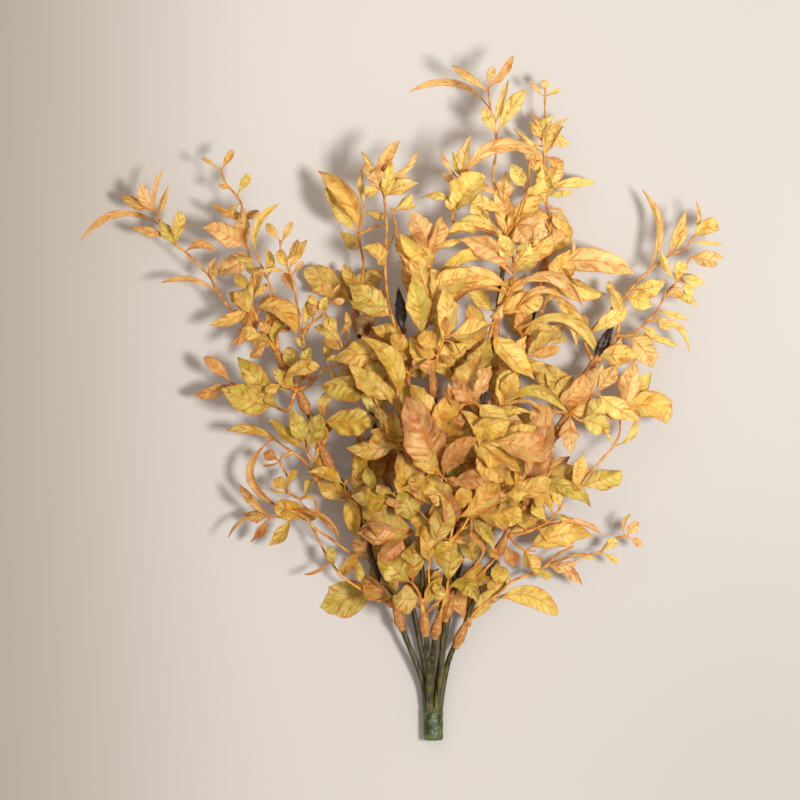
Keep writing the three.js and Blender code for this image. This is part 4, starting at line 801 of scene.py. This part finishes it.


def tint_of(tone, x, y, chance):
    """A leaf's colour as linear RGB: its tone, darkened by painted shade in the middle of the foliage and
    paled by painted sunlight out at its ends and to the right.
    """
    colour = Color(TONES[tone])
    colour.h = (colour.h + chance.uniform(*HUE_SPREAD)) % 1
    colour.s = min(1, colour.s * chance.uniform(*SATURATIONS))
    outward = min(1, math.hypot(x - HEART[0], y - HEART[1]) / REACH)
    # sun is how much painted sunlight a leaf gets: more out from the heart and to the right
    sun = outward ** 1.4 + (x - SUN_FROM) / SUN_WIDTH + chance.uniform(*SUN_SPREAD)
    sun = min(max(sun, 0), 1)
    paleness = (MOTTLED_PALENESS if tone == MOTTLED else PALENESS) * sun
    tint = []
    for channel, sunny, dark in zip(colour, SUNNY, SHADE):
        # painted shade: with no painted sunlight a channel keeps only its SHADE share
        shaded = channel ** DISPLAY_GAMMA * (dark + (1 - dark) * sun)
        # painted sunlight: the colour pales towards SUNNY
        tint.append(shaded + (sunny ** DISPLAY_GAMMA - shaded) * paleness)
    return tuple(tint)


def outline_of(width, length, chance):
    """The outline that suits a leaf's size. Seven broad leaves in ten are blades."""
    if length < SPOON_LENGTH:
        return SPOON
    if width < STRAP_RATIO * length:
        return STRAP
    return BLADE if chance.random() < 0.7 else ROUND_BLADE


def leaf_form(width, length, index, rests, chance):
    """What makes each leaf its own: its outline, its turns, and its folds, waves and dents."""
    return SimpleNamespace(
        outline=outline_of(width, length, chance),
        roll=ROLL_SWING * math.sin(2.4 * index),
        twist=0 if rests else chance.uniform(*TWISTS),
        fold=chance.uniform(*FOLDS) * chance.choice(FOLD_SENSES),
        cup=chance.uniform(*CUPS),
        droop=chance.uniform(*DROOPS),
        wave=chance.uniform(*WAVES),
        wave_count=chance.uniform(*WAVE_COUNTS),
        wave_phase=chance.uniform(0, 6),
        crumple=chance.uniform(*CRUMPLES),
        notch=chance.uniform(*NOTCHES),
        seed=chance.uniform(0, 100),
    )


def half_width(form, width, t, is_tooth):
    """Half the width of a leaf at a share of its length, with lobes and small teeth along its edge."""
    lobes = LOBES * noise.noise(Vector((t * 4, form.seed, 0)))
    teeth = noise.noise(Vector((t * 9, form.seed, 1))) * 2 + (0.5 if is_tooth else -0.5)
    ragged = 1 + lobes + form.notch * teeth
    return max(width / 2 * value_between(form.outline, t) * ragged, STALK_RADIUS)


def lift(form, t, v):
    """How far a blade stands off its midrib's level, as a share of its half-width there."""
    ripple = form.wave * math.sin(form.wave_count * 2 * math.pi * t + form.wave_phase + (2 if v > 0 else 0))
    dents = form.crumple * noise.noise(Vector((t * 5, v * 1.5, form.seed)))
    return form.fold * abs(v) + form.cup * v * v + ripple * v * v + dents


def leaf_grid(foot, leaf, index, chance):
    """The middle surface of a leaf, as rows of points across it from its foot to its tip."""
    tip_x, tip_y, width, bend, rise = leaf[2:7]
    chord = Vector((tip_x - foot.x, tip_y - foot.y, 0))
    length = chord.length
    left = Vector((-chord.y, chord.x, 0)).normalized()
    rests = rise < RESTING_RISE
    form = leaf_form(width, length, index, rests, chance)
    rows = max(ROWS_LEAST, min(ROWS_MOST, round(length / ROW_SPACING)))

    def centre(t):
        swing = 4 * t * (1 - t) * length
        point = foot + chord * t + left * (swing * bend)
        point.z += rise * math.sin(t * math.pi / 2) + swing * LEAF_ARCH
        point.z -= form.droop * length * max(0, t - DROOP_START) ** 2 * 3
        return point

    grid = []
    for i in range(rows + 1):
        t = i / rows
        middle = centre(t)
        tangent = (centre(t + 0.03) - centre(t - 0.03)).normalized()
        side = Vector((-tangent.y, tangent.x, 0)).normalized()
        up = tangent.cross(side)
        turn = form.roll + form.twist * (t - TWIST_CENTRE)
        if rests:  # it flattens out before it reaches the surface
            turn *= max(0, 1 - 3 * t)
        across = side * math.cos(turn) + up * math.sin(turn)
        over = up * math.cos(turn) - side * math.sin(turn)
        half = half_width(form, width, t, i % 2 == 1)
        blade = min(1, max(0, (t - STALK_SHARE) * 6))
        row = [middle + across * (v * half) + over * (blade * half * lift(form, t, v)) for v in COLUMNS]
        for point in row:
            point.z = max(point.z, FLOOR_GAP)
        grid.append(row)
    return grid


def surface_normal(grid, i, j):
    """Straight down from a leaf's middle surface."""
    along = grid[min(i + 1, len(grid) - 1)][j] - grid[max(i - 1, 0)][j]
    across = grid[i][min(j + 1, len(COLUMNS) - 1)] - grid[i][max(j - 1, 0)]
    return across.cross(along).normalized()


def half_thickness(t, v):
    """A leaf is round at its stalk, thin in its blade and thinnest at its edges, with a raised midrib."""
    stalk = max(0, 1 - t * 9)
    midrib = MIDRIB_RISE * max(0, 1 - abs(v) * 7) * (1 - 0.6 * t)
    blade = LEAF_THICKNESS / 2 * (1 - 0.45 * abs(v)) + midrib
    return blade + (STALK_RADIUS * (1 - v * v) ** 0.5 - blade) * stalk * (1 if abs(v) < 1 else 0)


def add_leaf(shape, foot, leaf, index, chance):
    """A leaf as a thin closed sheet."""
    grid = leaf_grid(foot, leaf, index, chance)
    tint = tint_of(leaf[7], (foot.x + leaf[2]) / 2, (foot.y + leaf[3]) / 2, chance)
    own = chance.random()
    rows = len(grid)
    columns = len(COLUMNS)
    sides = []
    for face in (-1, 1):
        rows_of_side = []
        for i in range(rows):
            t = i / (rows - 1)
            ids = []
            for j, v in enumerate(COLUMNS):
                point = grid[i][j] + surface_normal(grid, i, j) * (-face * half_thickness(t, v))
                point.z = max(point.z, SKIN_GAP)
                ids.append(shape.add(point, (t, v, own), tint))
            rows_of_side.append(ids)
        sides.append(rows_of_side)
    top, under = sides
    for i in range(rows - 1):
        for j in range(columns - 1):
            shape.faces.append((top[i][j], top[i + 1][j], top[i + 1][j + 1], top[i][j + 1]))
            shape.faces.append((under[i][j], under[i][j + 1], under[i + 1][j + 1], under[i + 1][j]))
    rim = [(i, 0) for i in range(rows)] + [(rows - 1, j) for j in range(1, columns)]
    rim += [(i, columns - 1) for i in range(rows - 2, -1, -1)] + [(0, j) for j in range(columns - 2, 0, -1)]
    for (i, j), (k, m) in zip(rim, rim[1:] + rim[:1]):
        shape.faces.append((top[i][j], under[i][j], under[k][m], top[k][m]))
        shape.sharp.add(tuple(sorted((top[i][j], top[k][m]))))
        shape.sharp.add(tuple(sorted((under[i][j], under[k][m]))))


# ---------------------------------------------------------------- small leaves and sprays

# The part of the foliage in plan that has small leaves, as (y, left x, right x).
THICKET = [(96, -30, 50), (117, -66, 98), (143, -84, 98), (169, -92, 104), (195, -100, 128)]
THICKET += [(221, -120, 142), (247, -142, 140), (273, -150, 134), (299, -150, 128), (325, -140, 96)]
THICKET += [(351, -140, 88), (377, 8, 82), (392, 40, 70)]

# The share of the places for small leaves that hold one. The middle is an ellipse, longer along y.
SHARES = {
    "middle": 0.62,
    "upper left": 0.34,
    "lower left": 0.1,
    "upper right": 0.15,
    "right": 0.22,
    "gaps": 0.04,
}
FULL_MIDDLE, FULL_REACH, FULL_STRETCH = (4, 215), 46, 2.2
LEFT_GAPS, BOTTOM_GAPS = -20, 135
UPPER_LEFT_FROM, UPPER_RIGHT_FROM = 200, 250

SMALL_LEAF_LENGTHS = (12, 44, 27)  # least, greatest and commonest
SMALL_LEAF_WIDTHS = (0.34, 0.58)  # shares of its length
SMALL_LEAF_BENDS = (-0.16, 0.16)
SMALL_LEAF_RISES = (-8, 10)
LEFT_SPRAYS = -55  # the sprays to the left of this x are finer
LEFT_LEAF_SCALE = 0.6
FIRST_PAIR, PAIR_STEPS = 4, 3  # twig steps to a twig's first pair of small leaves, and from pair to pair
PAIR_ANGLES = (0.3, 1.2)
WHORL = 4  # small leaves round the top of a sleeve
WHORL_HEIGHT = 0.36  # as a share of the sleeve's length, from its middle
WHORL_ANGLE = 0.62
WHORL_SPREAD = (-0.2, 0.2)
BUD_CLEARANCE = 14  # small leaves stay this far from the bare buds at the stems' ends
SHOWN_STEMS = ["b", "d"]
STEM_CLEARANCE = 5  # and this far, at their middles, from the stems that show between the leaves


def in_thicket(x, y):
    """Whether a place in plan is inside the part that has small leaves."""
    for (y0, left0, right0), (y1, left1, right1) in zip(THICKET, THICKET[1:]):
        if y0 <= y <= y1:
            share = (y - y0) / (y1 - y0)
            return left0 + (left1 - left0) * share < x < right0 + (right1 - right0) * share
    return False


def near_bud(x, y):
    """Whether a leaf with its middle here would hide a bare bud."""
    buds = [STEM_LINES[name][-1] for name in TIPPED_STEMS]
    return any(math.hypot(bud.x - x, bud.y + TIP_LENGTH / 3 - y) < BUD_CLEARANCE for bud in buds)


def over_stem(x, y):
    """Whether a leaf with its middle here would hide a stem that shows."""
    return any(abs(stem_at(name, y)[0].x - x) < STEM_CLEARANCE for name in SHOWN_STEMS)


def fullness(x, y):
    """The share of the places for small leaves that hold one: most in the middle of the foliage."""
    if math.hypot(x - FULL_MIDDLE[0], (y - FULL_MIDDLE[1]) / FULL_STRETCH) < FULL_REACH:
        return SHARES["middle"]
    if x < LEFT_SPRAYS:
        return SHARES["upper left" if y > UPPER_LEFT_FROM else "lower left"]
    if x < LEFT_GAPS or y < BOTTOM_GAPS:
        return SHARES["gaps"]
    return SHARES["upper right" if y > UPPER_RIGHT_FROM else "right"]


def tone_near(x, y, length, chance):
    """Lime leaves are common low on the left, golden ones high and on the right, orange ones are small."""
    golden = min(1, max(0, (x + 40) / 160 + (y - 90) / 420))
    draw = chance.random()
    if draw < (0.45 if length < SPOON_LENGTH else 0.1):
        return ORANGE
    if draw > 0.94:
        return PEACH
    return GOLDEN if chance.random() < 0.3 + 0.6 * golden else LIME


def small_leaf(point, heading, chance):
    """A leaf for the thick part of the foliage, or None where it would stick out of it."""
    length = chance.triangular(*SMALL_LEAF_LENGTHS)
    if point.x < LEFT_SPRAYS:
        length *= LEFT_LEAF_SCALE
    width = length * chance.uniform(*SMALL_LEAF_WIDTHS)
    tip_x = point.x + math.cos(heading) * length
    tip_y = point.y + math.sin(heading) * length
    middle_x, middle_y = (point.x + tip_x) / 2, (point.y + tip_y) / 2
    if not in_thicket(tip_x, tip_y) or near_bud(middle_x, middle_y) or over_stem(middle_x, middle_y):
        return None
    bend = chance.uniform(*SMALL_LEAF_BENDS)
    rise = chance.uniform(*SMALL_LEAF_RISES)
    return [point.x, point.y, tip_x, tip_y, width, bend, rise, tone_near(tip_x, tip_y, length, chance)]


def small_leaves(lines, sleeve, chance):
    """Pairs of leaves along the twigs, and a whorl of leaves at the sleeve."""
    found = []
    for line in lines:
        for i in range(FIRST_PAIR, len(line), PAIR_STEPS):
            along = line[i] - line[i - 1]
            heading = math.atan2(along.y, along.x)
            for side in (-1, 1):
                if chance.random() < fullness(line[i].x, line[i].y):
                    found.append((line[i], heading + side * chance.uniform(*PAIR_ANGLES)))
    point, direction = sleeve
    top = point + direction * (SLEEVE_LENGTH * WHORL_HEIGHT)
    heading = math.atan2(direction.y, direction.x)
    for k in range(WHORL):
        turn = (k - (WHORL - 1) / 2) * WHORL_ANGLE
        found.append((top, heading + turn + chance.uniform(*WHORL_SPREAD)))
    leaves = [(foot, small_leaf(foot, heading, chance)) for foot, heading in found]
    return [(foot, leaf) for foot, leaf in leaves if leaf]


def spray_pieces(plan, materials):
    """A spray's twigs with their sleeve, and its leaves."""
    chance = random.Random(plan["name"])
    sleeve = stem_at(plan["stem"], plan["at"])
    wood = Shape()
    add_sleeve(wood, *sleeve)
    lines = []
    for twig in plan["twigs"]:
        line, is_branch = twig_line(twig, lines, sleeve)
        lines.append(line)
        add_twig(wood, line, is_branch)
    leaves = Shape()
    for index, leaf in enumerate(plan["leaves"]):
        foot = nearest(lines, leaf[0], leaf[1])[0]
        add_leaf(leaves, foot, leaf, index, chance)
    for index, (foot, leaf) in enumerate(small_leaves(lines, sleeve, chance)):
        add_leaf(leaves, foot, leaf, index, chance)
    node = f"spray_{plan['name']}"
    twigs_piece = wood.make(f"twigs_{plan['name']}", materials["twig"])
    leaves_piece = leaves.make(f"leaves_{plan['name']}", materials["leaf"])
    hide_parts(node)


# ---------------------------------------------------------------- materials

class Nodes:
    """A material's node tree, with short calls for the nodes that repeat."""

    def __init__(self, name):
        self.material = bpy.data.materials.new(name)
        self.material.use_nodes = True
        self.tree = self.material.node_tree
        self.shader = self.tree.nodes["Principled BSDF"]
        place = self.tree.nodes.new("ShaderNodeTexCoord")
        self.place = place.outputs["Object"]

    def link(self, source, target):
        """Feeds a socket from another socket, or sets it to a plain value."""
        if isinstance(source, bpy.types.NodeSocket):
            self.tree.links.new(source, target)
        else:
            target.default_value = source

    def attribute(self, name):
        node = self.tree.nodes.new("ShaderNodeAttribute")
        node.attribute_name = name
        return node.outputs["Color" if name == "tint" else "Vector"]

    def parts(self, vector):
        node = self.tree.nodes.new("ShaderNodeSeparateXYZ")
        self.link(vector, node.inputs[0])
        return node.outputs

    def vector(self, x, y, z):
        node = self.tree.nodes.new("ShaderNodeCombineXYZ")
        for source, target in zip((x, y, z), node.inputs):
            self.link(source, target)
        return node.outputs[0]

    def math(self, operation, a, b=0.0):
        node = self.tree.nodes.new("ShaderNodeMath")
        node.operation = operation
        self.link(a, node.inputs[0])
        self.link(b, node.inputs[1])
        return node.outputs[0]

    def scaled(self, value, factor):
        return self.math("MULTIPLY", value, factor)

    def ramp(self, value, low, high, to_low=0.0, to_high=1.0):
        """A smooth step of a value from one range to another."""
        node = self.tree.nodes.new("ShaderNodeMapRange")
        node.interpolation_type = "SMOOTHSTEP"
        self.link(value, node.inputs["Value"])
        node.inputs["From Min"].default_value = low
        node.inputs["From Max"].default_value = high
        node.inputs["To Min"].default_value = to_low
        node.inputs["To Max"].default_value = to_high
        return node.outputs["Result"]

    def noise(self, scale, detail=3.0, vector=None):
        node = self.tree.nodes.new("ShaderNodeTexNoise")
        node.inputs["Scale"].default_value = scale
        node.inputs["Detail"].default_value = detail
        self.link(vector or self.place, node.inputs["Vector"])
        return node.outputs["Fac"]

    def mix(self, factor, a, b, blend="MIX"):
        node = self.tree.nodes.new("ShaderNodeMix")
        node.data_type = "RGBA"
        node.blend_type = blend
        self.link(factor, node.inputs[0])
        self.link(a, node.inputs[6])
        self.link(b, node.inputs[7])
        return node.outputs[2]

    def stretched(self, x, y, z):
        """Places scaled differently along each axis, for streaks."""
        node = self.tree.nodes.new("ShaderNodeMapping")
        self.link(self.place, node.inputs["Vector"])
        node.inputs["Scale"].default_value = (x, y, z)
        return node.outputs["Vector"]

    def colour(self, colour):
        self.link(colour, self.shader.inputs["Base Color"])

    def roughness(self, scale, smoothest, roughest):
        """Roughness that wanders between two values, in patches."""
        patches = self.ramp(self.noise(scale), 0.3, 0.7, smoothest, roughest)
        self.link(patches, self.shader.inputs["Roughness"])

    def set(self, name, value):
        self.shader.inputs[name].default_value = value

    def bump(self, height, strength, distance):
        """Small relief. The distance is in metres."""
        node = self.tree.nodes.new("ShaderNodeBump")
        node.inputs["Strength"].default_value = strength
        node.inputs["Distance"].default_value = distance
        self.link(height, node.inputs["Height"])
        self.link(node.outputs["Normal"], self.shader.inputs["Normal"])


def linear(red, green, blue):
    """A colour as displayed, as a linear RGBA value."""
    return (red ** DISPLAY_GAMMA, green ** DISPLAY_GAMMA, blue ** DISPLAY_GAMMA, 1)


def leaf_highlights_and_blotches(nodes, tint, pale, browner):
    """The tint with soft pale clouds, which are painted highlights, and smaller brown blotches."""
    # painted highlights: soft patches where the tint pales towards cream
    clouds = nodes.ramp(nodes.noise(75), 0.40, 0.62)
    colour = nodes.mix(nodes.scaled(clouds, 0.6), tint, pale)
    blotches = nodes.ramp(nodes.noise(140, 4), 0.55, 0.72)
    return nodes.mix(nodes.scaled(blotches, 0.7), colour, browner)


def leaf_streaks(nodes, colour, tint, pale, mark):
    """Dark and light streaks that fan out from the midrib towards the tip."""
    along, across, own = mark
    slant = nodes.scaled(nodes.math("ABSOLUTE", across), -2.2)
    start = nodes.math("ADD", nodes.scaled(own, 40.0), slant)  # each leaf has its own part of the noise
    place = nodes.vector(nodes.math("ADD", nodes.scaled(along, 13.0), start), across, own)
    streaks = nodes.noise(1.0, 4, place)
    streaked = nodes.mix(1.0, tint, linear(0.87, 0.63, 0.36), "MULTIPLY")
    colour = nodes.mix(nodes.scaled(nodes.ramp(streaks, 0.50, 0.68), 0.85), colour, streaked)
    return nodes.mix(nodes.scaled(nodes.ramp(streaks, 0.46, 0.30), 0.5), colour, pale)


def leaf_side_veins(nodes, along, from_midrib):
    """1 on the side veins, which slant from the midrib towards the tip, and 0 between them."""
    veins_per_leaf = 8.0
    phase = nodes.math("SUBTRACT", nodes.scaled(along, veins_per_leaf), nodes.scaled(from_midrib, 1.7))
    to_vein = nodes.math("ABSOLUTE", nodes.math("SUBTRACT", nodes.math("FRACT", phase), 0.5))
    vein_line = nodes.ramp(to_vein, 0.02, 0.12, 1.0, 0.0)
    inside_edge = nodes.ramp(from_midrib, 0.7, 0.95, 1.0, 0.0)
    in_blade = nodes.math("MULTIPLY", nodes.ramp(along, 0.1, 0.25), inside_edge)
    return nodes.math("MULTIPLY", vein_line, in_blade)


def leaf_orange(nodes, colour, browner, along, from_midrib):
    """An orange midrib that fades towards the tip, an orange stalk and an uneven orange edge."""
    orange = nodes.mix(0.5, browner, linear(0.80, 0.46, 0.15))
    midrib = nodes.ramp(from_midrib, 0.03, 0.13, 1.0, 0.0)
    fading = nodes.ramp(along, 0.2, 1.0, 0.8, 0.3)
    colour = nodes.mix(nodes.math("MULTIPLY", midrib, fading), colour, orange)
    stalk = nodes.ramp(along, 0.06, 0.24, 1.0, 0.0)
    colour = nodes.mix(nodes.scaled(stalk, 0.7), colour, orange)
    frayed = nodes.math("ADD", from_midrib, nodes.scaled(nodes.noise(160, 3), 0.42))
    return nodes.mix(nodes.ramp(frayed, 1.02, 1.22, 0.0, 0.8), colour, orange)


def leaf_material():
    """Printed cloth: each leaf's tint, which carries painted shade and painted sunlight, with pale clouds of
    painted highlight, streaks, side veins, orange lines and brown specks.
    """
    nodes = Nodes("leaf_cloth")
    mark = nodes.parts(nodes.attribute("mark"))
    along, across, _ = mark
    from_midrib = nodes.math("ABSOLUTE", across)
    tint = nodes.attribute("tint")
    browner = nodes.mix(1.0, tint, linear(0.90, 0.64, 0.34), "MULTIPLY")
    # cream, for the painted highlights in the clouds and for the pale side of the streaks
    pale = nodes.mix(0.45, tint, linear(1.0, 0.91, 0.58))

    colour = leaf_highlights_and_blotches(nodes, tint, pale, browner)
    colour = leaf_streaks(nodes, colour, tint, pale, mark)
    side_veins = leaf_side_veins(nodes, along, from_midrib)
    colour = nodes.mix(nodes.scaled(side_veins, 0.32), colour, browner)
    colour = leaf_orange(nodes, colour, browner, along, from_midrib)
    specks = nodes.ramp(nodes.noise(900, 2), 0.70, 0.76)
    nodes.colour(nodes.mix(nodes.scaled(specks, 0.5), colour, linear(0.50, 0.28, 0.10)))

    nodes.roughness(260, 0.42, 0.62)
    nodes.set("Sheen Weight", 0.15)
    nodes.set("Sheen Roughness", 0.5)
    nodes.set("Specular IOR Level", 0.4)
    weave = nodes.scaled(nodes.noise(2600, 1), 0.25)
    crumpled = nodes.math("ADD", weave, nodes.noise(330, 3))
    nodes.bump(nodes.math("ADD", crumpled, nodes.scaled(side_veins, 0.5)), 0.45, 0.0008)
    return nodes.material


def twig_material():
    """Moulded orange-brown plastic with darker and yellower stretches, and redder ridged sleeves."""
    nodes = Nodes("twig_plastic")
    sleeve = nodes.parts(nodes.attribute("mark"))[0]
    streaks = nodes.ramp(nodes.noise(190, 3), 0.36, 0.68)
    twig = nodes.mix(streaks, linear(0.72, 0.42, 0.13), linear(0.90, 0.66, 0.28))
    flecks = nodes.ramp(nodes.noise(520, 3), 0.48, 0.64)
    moulded = nodes.mix(flecks, linear(0.68, 0.44, 0.21), linear(0.79, 0.56, 0.30))
    nodes.colour(nodes.mix(sleeve, twig, moulded))
    nodes.roughness(300, 0.34, 0.52)
    nodes.bump(nodes.noise(900, 3), 0.3, 0.0005)
    return nodes.material


OLIVE_END, BROWN_START = 20, 110  # the stems turn from olive to brown between these distances along y


def stem_material():
    """Dark plastic bark, olive near the stub and browner towards the tips, with streaks along it."""
    nodes = Nodes("stem_plastic")
    upward = nodes.parts(nodes.place)[1]
    from_stub = nodes.ramp(upward, LAYOUT_ORIGIN.y + OLIVE_END * MM, LAYOUT_ORIGIN.y + BROWN_START * MM)
    streaks = nodes.ramp(nodes.noise(1, 4, nodes.stretched(700, 60, 700)), 0.35, 0.68)
    olive = nodes.mix(streaks, linear(0.18, 0.17, 0.07), linear(0.40, 0.37, 0.18))
    brown = nodes.mix(streaks, linear(0.13, 0.10, 0.05), linear(0.29, 0.23, 0.12))
    nodes.colour(nodes.mix(from_stub, olive, brown))
    nodes.roughness(400, 0.38, 0.58)
    nodes.bump(nodes.noise(1, 3, nodes.stretched(1500, 250, 1500)), 0.4, 0.0006)
    return nodes.material


def stub_material():
    """Dark green moulded plastic, lumpy and half glossy."""
    nodes = Nodes("stub_plastic")
    patches = nodes.ramp(nodes.noise(230, 4), 0.38, 0.66)
    nodes.colour(nodes.mix(patches, linear(0.15, 0.20, 0.09), linear(0.36, 0.40, 0.20)))
    nodes.roughness(500, 0.28, 0.5)
    nodes.bump(nodes.noise(520, 4), 0.55, 0.0012)
    return nodes.material


def tip_material():
    """Dark dried-bud plastic in streaks from near black to dark brown."""
    nodes = Nodes("tip_plastic")
    streaks = nodes.ramp(nodes.noise(350, 4), 0.4, 0.68)
    nodes.colour(nodes.mix(streaks, linear(0.13, 0.10, 0.09), linear(0.34, 0.27, 0.24)))
    nodes.set("Roughness", 0.5)
    nodes.bump(nodes.noise(900, 3), 0.4, 0.0006)
    return nodes.material


def floor_material():
    """Pale backdrop paper with painted light and shade: palest in its middle and upper part and darkest on
    its left.
    """
    nodes = Nodes("pale_floor")
    rightward, upward, _ = nodes.parts(nodes.place)  # in metres from the middle of the bunch
    # painted shade: the paper darkens to its left, a little to its right and towards the bottom, as the
    # light falls off
    from_left = nodes.ramp(rightward, -0.30, -0.06)
    to_right = nodes.ramp(rightward, 0.0, 0.26)
    from_below = nodes.ramp(upward, -0.26, 0.1)
    middle = nodes.mix(from_below, linear(0.78, 0.76, 0.745), linear(0.825, 0.805, 0.79))
    right = nodes.mix(from_below, linear(0.735, 0.72, 0.705), linear(0.79, 0.775, 0.76))
    lit = nodes.mix(to_right, middle, right)
    nodes.colour(nodes.mix(from_left, linear(0.665, 0.625, 0.58), lit))
    nodes.set("Roughness", 0.9)
    nodes.set("Specular IOR Level", 0.1)
    return nodes.material


# ---------------------------------------------------------------- stage

# In metres, except the sensor's width, which is in millimetres.
VIEW_WIDTH = 0.52
CAMERA_HEIGHT = 3.0
CLIP_END = 30
FLOOR_REACH = 6.0
SENSOR_WIDTH = 36.0


def make_camera():
    """A long lens that looks straight down at the middle of the bunch, with +Y up in the picture."""
    data = bpy.data.cameras.new("camera")
    data.sensor_width = SENSOR_WIDTH
    data.lens = SENSOR_WIDTH * CAMERA_HEIGHT / VIEW_WIDTH
    data.clip_end = CLIP_END
    camera = bpy.data.objects.new("camera", data)
    camera.location = (0, 0, CAMERA_HEIGHT)
    bpy.context.scene.collection.objects.link(camera)
    bpy.context.scene.camera = camera


def make_lamp(name, place, size, power, colour):
    """A square soft lamp that points at the middle of the bunch."""
    data = bpy.data.lights.new(name, "AREA")
    data.size = size
    data.energy = power
    data.color = colour
    lamp = bpy.data.objects.new(name, data)
    lamp.location = place
    lamp.rotation_euler = (-Vector(place)).to_track_quat("-Z", "Y").to_euler()
    lamp.visible_camera = False
    bpy.context.scene.collection.objects.link(lamp)


def make_world():
    """Even warm light from all round."""
    world = bpy.data.worlds.new("soft_world")
    world.use_nodes = True
    background = world.node_tree.nodes["Background"]
    background.inputs["Color"].default_value = (0.97, 0.89, 0.80, 1)
    background.inputs["Strength"].default_value = 0.53
    bpy.context.scene.world = world


def make_floor():
    """A square sheet of backdrop paper, level with the model's underside."""
    mesh = bpy.data.meshes.new("floor")
    corners = [(-1, -1), (1, -1), (1, 1), (-1, 1)]
    mesh.from_pydata([(x * FLOOR_REACH, y * FLOOR_REACH, 0) for x, y in corners], [], [(0, 1, 2, 3)])
    mesh.materials.append(floor_material())
    floor = bpy.data.objects.new("floor", mesh)
    bpy.context.scene.collection.objects.link(floor)


def make_stage():
    make_camera()
    make_lamp("key_lamp", place=(0.72, -0.12, 1.6), size=0.3, power=26, colour=(1.0, 0.985, 0.955))
    make_lamp("fill_lamp", place=(-0.8, 1.2, 2.4), size=2.0, power=6, colour=(1.0, 0.98, 0.96))
    make_world()
    make_floor()
    bpy.context.scene.view_settings.view_transform = "Standard"


# ---------------------------------------------------------------- assembly

make_stage()
stem_look = stem_material()
for stem_name in STEM_LINES:
    stem_piece(stem_name, stem_look)
stub_piece(stub_material())
tip_look = tip_material()
for stem_name in TIPPED_STEMS:
    tip_piece(stem_name, tip_look)
spray_looks = {"twig": twig_material(), "leaf": leaf_material()}
for spray_plan in SPRAYS:
    spray_pieces(spray_plan, spray_looks)
